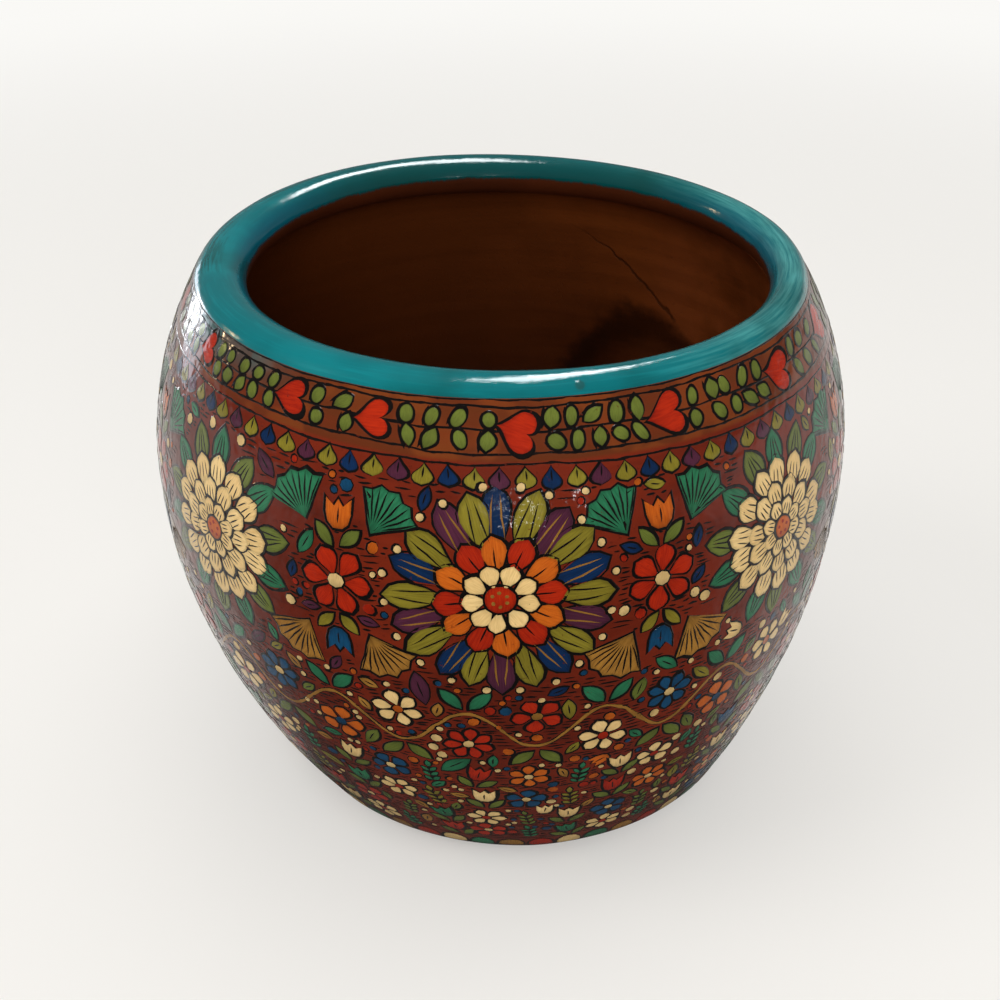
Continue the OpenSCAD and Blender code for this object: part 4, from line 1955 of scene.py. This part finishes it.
class Lamp(NamedTuple):
    """A lamp that faces the pot, with its place and face in metres and its power in watts."""

    name: str
    use: LampUse
    place: tuple[float, float, float]
    face: Span
    power: float
    colour: tuple[float, float, float]


DAY, BLUE_DAY, ROOM, WARM = (0.95, 0.98, 1.0), (0.78, 0.87, 1.0), (1.0, 0.97, 0.94), (1.0, 0.72, 0.42)

LAMPS = (
    Lamp("Back window", LampUse.GLINT, (0.18, 0.62, 1.5), (0.3, 1.1), 24.0, DAY),
    Lamp("Low window", LampUse.GLINT, (-0.82, 0.66, 0.13), (0.6, 0.2), 1.0, BLUE_DAY),
    Lamp("Low pane", LampUse.GLINT, (-0.82, 0.66, 0.12), (0.16, 0.08), 0.75, DAY),
    Lamp("Warm lamp", LampUse.GLINT, (-1.41, 0.43, 0.5), (0.08, 0.08), 1.05, WARM),
    Lamp("Front glint", LampUse.GLINT, (0.24, -1.97, 0.42), (0.05, 0.04), 0.38, DAY),
    Lamp("Right glint", LampUse.GLINT, (0.82, -1.8, 0.4), (0.05, 0.04), 0.38, DAY),
    Lamp("Left soft", LampUse.SOFT, (-2.5, -0.65, 2.3), (1.6, 1.6), 40.0, ROOM),
    Lamp("Overhead soft", LampUse.SOFT, (0.1, 0.2, 2.8), (2.6, 2.6), 62.0, ROOM),
    Lamp("Front soft", LampUse.SOFT, (0.5, -3.0, 1.3), (2.1, 1.4), 68.0, ROOM),
)


@dataclass
class Stage:
    """The pale floor, the soft lamps and the camera."""

    floor_size: float = 8.0
    floor_colour: Colour = srgb(236, 235, 232)
    floor_shade: Colour = srgb(132, 130, 126)
    floor_dull: Colour = srgb(64, 62, 60)
    floor_glow: Span = (1.06, 1.14)
    near_share: float = 0.55
    mirrored: float = 0.12
    in_front: Span = (0.75, 0.1)
    straight_behind: Span = (-0.96, -0.7)
    low_sky: Span = (0.1, -0.04)
    shadow_reach: Span = (0.07, 0.105)
    horizon: Span = (0.5, 1.5)
    sky: Colour = (1.0, 0.985, 0.96, 1.0)
    sky_seen: float = 0.885
    sky_light: float = 0.08
    lamp_target: tuple[float, float, float] = (0.0, 0.0, 0.12)
    camera_target: tuple[float, float, float] = (0.0, 0.0, 0.1003)
    camera_elevation: float = math.radians(33.25)
    camera_distance: float = 0.50435
    lens: float = 44.7
    sensor: float = 36.0

    def build(self) -> None:
        """Builds the floor, the lights, the world and the camera."""
        self._floor()
        self._world()
        for lamp in LAMPS:
            self._lamp(lamp)
        self._camera()

    def _floor(self) -> None:
        """Builds the floor, which shows pale to the camera and keeps the shadow."""
        half = self.floor_size / 2
        mesh = bpy.data.meshes.new("floor")
        mesh.from_pydata([(-half, -half, 0), (half, -half, 0), (half, half, 0), (-half, half, 0)], [], [(0, 1, 2, 3)])
        floor = bpy.data.objects.new("floor", mesh)
        bpy.context.scene.collection.objects.link(floor)
        material = bpy.data.materials.new("Pale floor")
        material.use_nodes = True
        graph = Graph(material.node_tree)
        x, y, _ = graph.split(graph.node("ShaderNodeTexCoord", out="Object"))
        away = (x * x + y * y).math("SQRT")
        side = self._beside(graph, y * -1.0 / away)
        seen = self._seen(graph, side)
        near, far = graph.ramp(away, *self.shadow_reach), graph.ramp(away, *self.horizon)
        share = near * self.near_share + far * (1.0 - self.near_share)
        tint = graph.blend(seen, self.floor_shade, self.floor_colour)
        glossy = graph.node("ShaderNodeLightPath", out="Is Glossy Ray")
        tint = graph.blend(glossy * (1.0 - side), tint, self.floor_dull)
        matte = graph.node("ShaderNodeBsdfDiffuse", {"Color": tint})
        strength = graph.ramp(away, *self.horizon, *self.floor_glow)
        glow = graph.node("ShaderNodeEmission", {"Color": self.floor_colour, "Strength": strength})
        surface = graph.node("ShaderNodeMixShader", {0: seen * share, 1: matte, 2: glow})
        graph.node("ShaderNodeOutputMaterial", {"Surface": surface})
        mesh.materials.append(material)

    def _beside(self, graph: Graph, facing: Field) -> Field:
        """Marks the background on both sides of the pot, where facing goes from -1 behind it to 1 in front."""
        return graph.ramp(facing, *self.in_front) * graph.ramp(facing, *self.straight_behind)

    def _seen(self, graph: Graph, side: Field) -> Field:
        """Gives the share of the pale background that a ray shows; the varnish mirrors all of it beside the pot."""
        path, mirrored = graph.node("ShaderNodeLightPath"), side * (1.0 - self.mirrored) + self.mirrored
        return path + path.other("Is Transmission Ray") + path.other("Is Glossy Ray") * mirrored

    def _world(self) -> None:
        """Sets an even, soft light from all round, behind which the background is pale."""
        world = bpy.data.worlds.new("Soft room")
        bpy.context.scene.world = world
        world.use_nodes = True
        graph = Graph(world.node_tree)
        _, y, z = graph.split(graph.node("ShaderNodeTexCoord", out="Generated"))
        side = self._beside(graph, y * -1.0) * graph.ramp(z, *self.low_sky)
        strength = self._seen(graph, side) * self.sky_seen + self.sky_light
        light = graph.node("ShaderNodeBackground", {"Color": self.sky, "Strength": strength})
        graph.node("ShaderNodeOutputWorld", {"Surface": light})

    def _lamp(self, lamp: Lamp) -> None:
        """Adds a lamp that faces the pot.

        Args:
            lamp: The lamp.
        """
        light = bpy.data.lights.new(lamp.name, "AREA")
        light.shape = "RECTANGLE"
        light.size, light.size_y = lamp.face
        light.energy = lamp.power
        light.color = lamp.colour
        made = bpy.data.objects.new(lamp.name, light)
        bpy.context.scene.collection.objects.link(made)
        made.location = lamp.place
        made.visible_camera = False
        made.visible_glossy = lamp.use is not LampUse.SOFT
        made.visible_diffuse = lamp.use is not LampUse.GLINT
        made.rotation_euler = (Vector(self.lamp_target) - Vector(lamp.place)).to_track_quat("-Z", "Y").to_euler()

    def _camera(self) -> None:
        """Sets the camera at the photograph's viewing angle."""
        camera = bpy.data.cameras.new("Camera")
        camera.lens = self.lens
        camera.sensor_width = self.sensor
        camera.clip_start = 0.01
        eye = bpy.data.objects.new("Camera", camera)
        bpy.context.scene.collection.objects.link(eye)
        back = Vector((0.0, -math.cos(self.camera_elevation), math.sin(self.camera_elevation)))
        eye.location = Vector(self.camera_target) + back * self.camera_distance
        eye.rotation_euler = (-back).to_track_quat("-Z", "Y").to_euler()
        bpy.context.scene.camera = eye


def main() -> None:
    """Builds every piece in order and reports it."""
    logging.basicConfig(level=logging.INFO, format="%(message)s")
    bpy.context.scene.view_settings.view_transform = "Standard"
    form = PotForm()
    pressed = HandPressing(form).tree()
    pieces = ClayBody(form, pressed).build() + WallPainting(form, pressed).build()
    for piece in pieces:
        piece.data.calc_loop_triangles()
        LOG.info("%s: %d triangles", piece.name, len(piece.data.loop_triangles))
    Stage().build()
    bpy.context.view_layer.update()


if __name__ == "__main__":
    main()
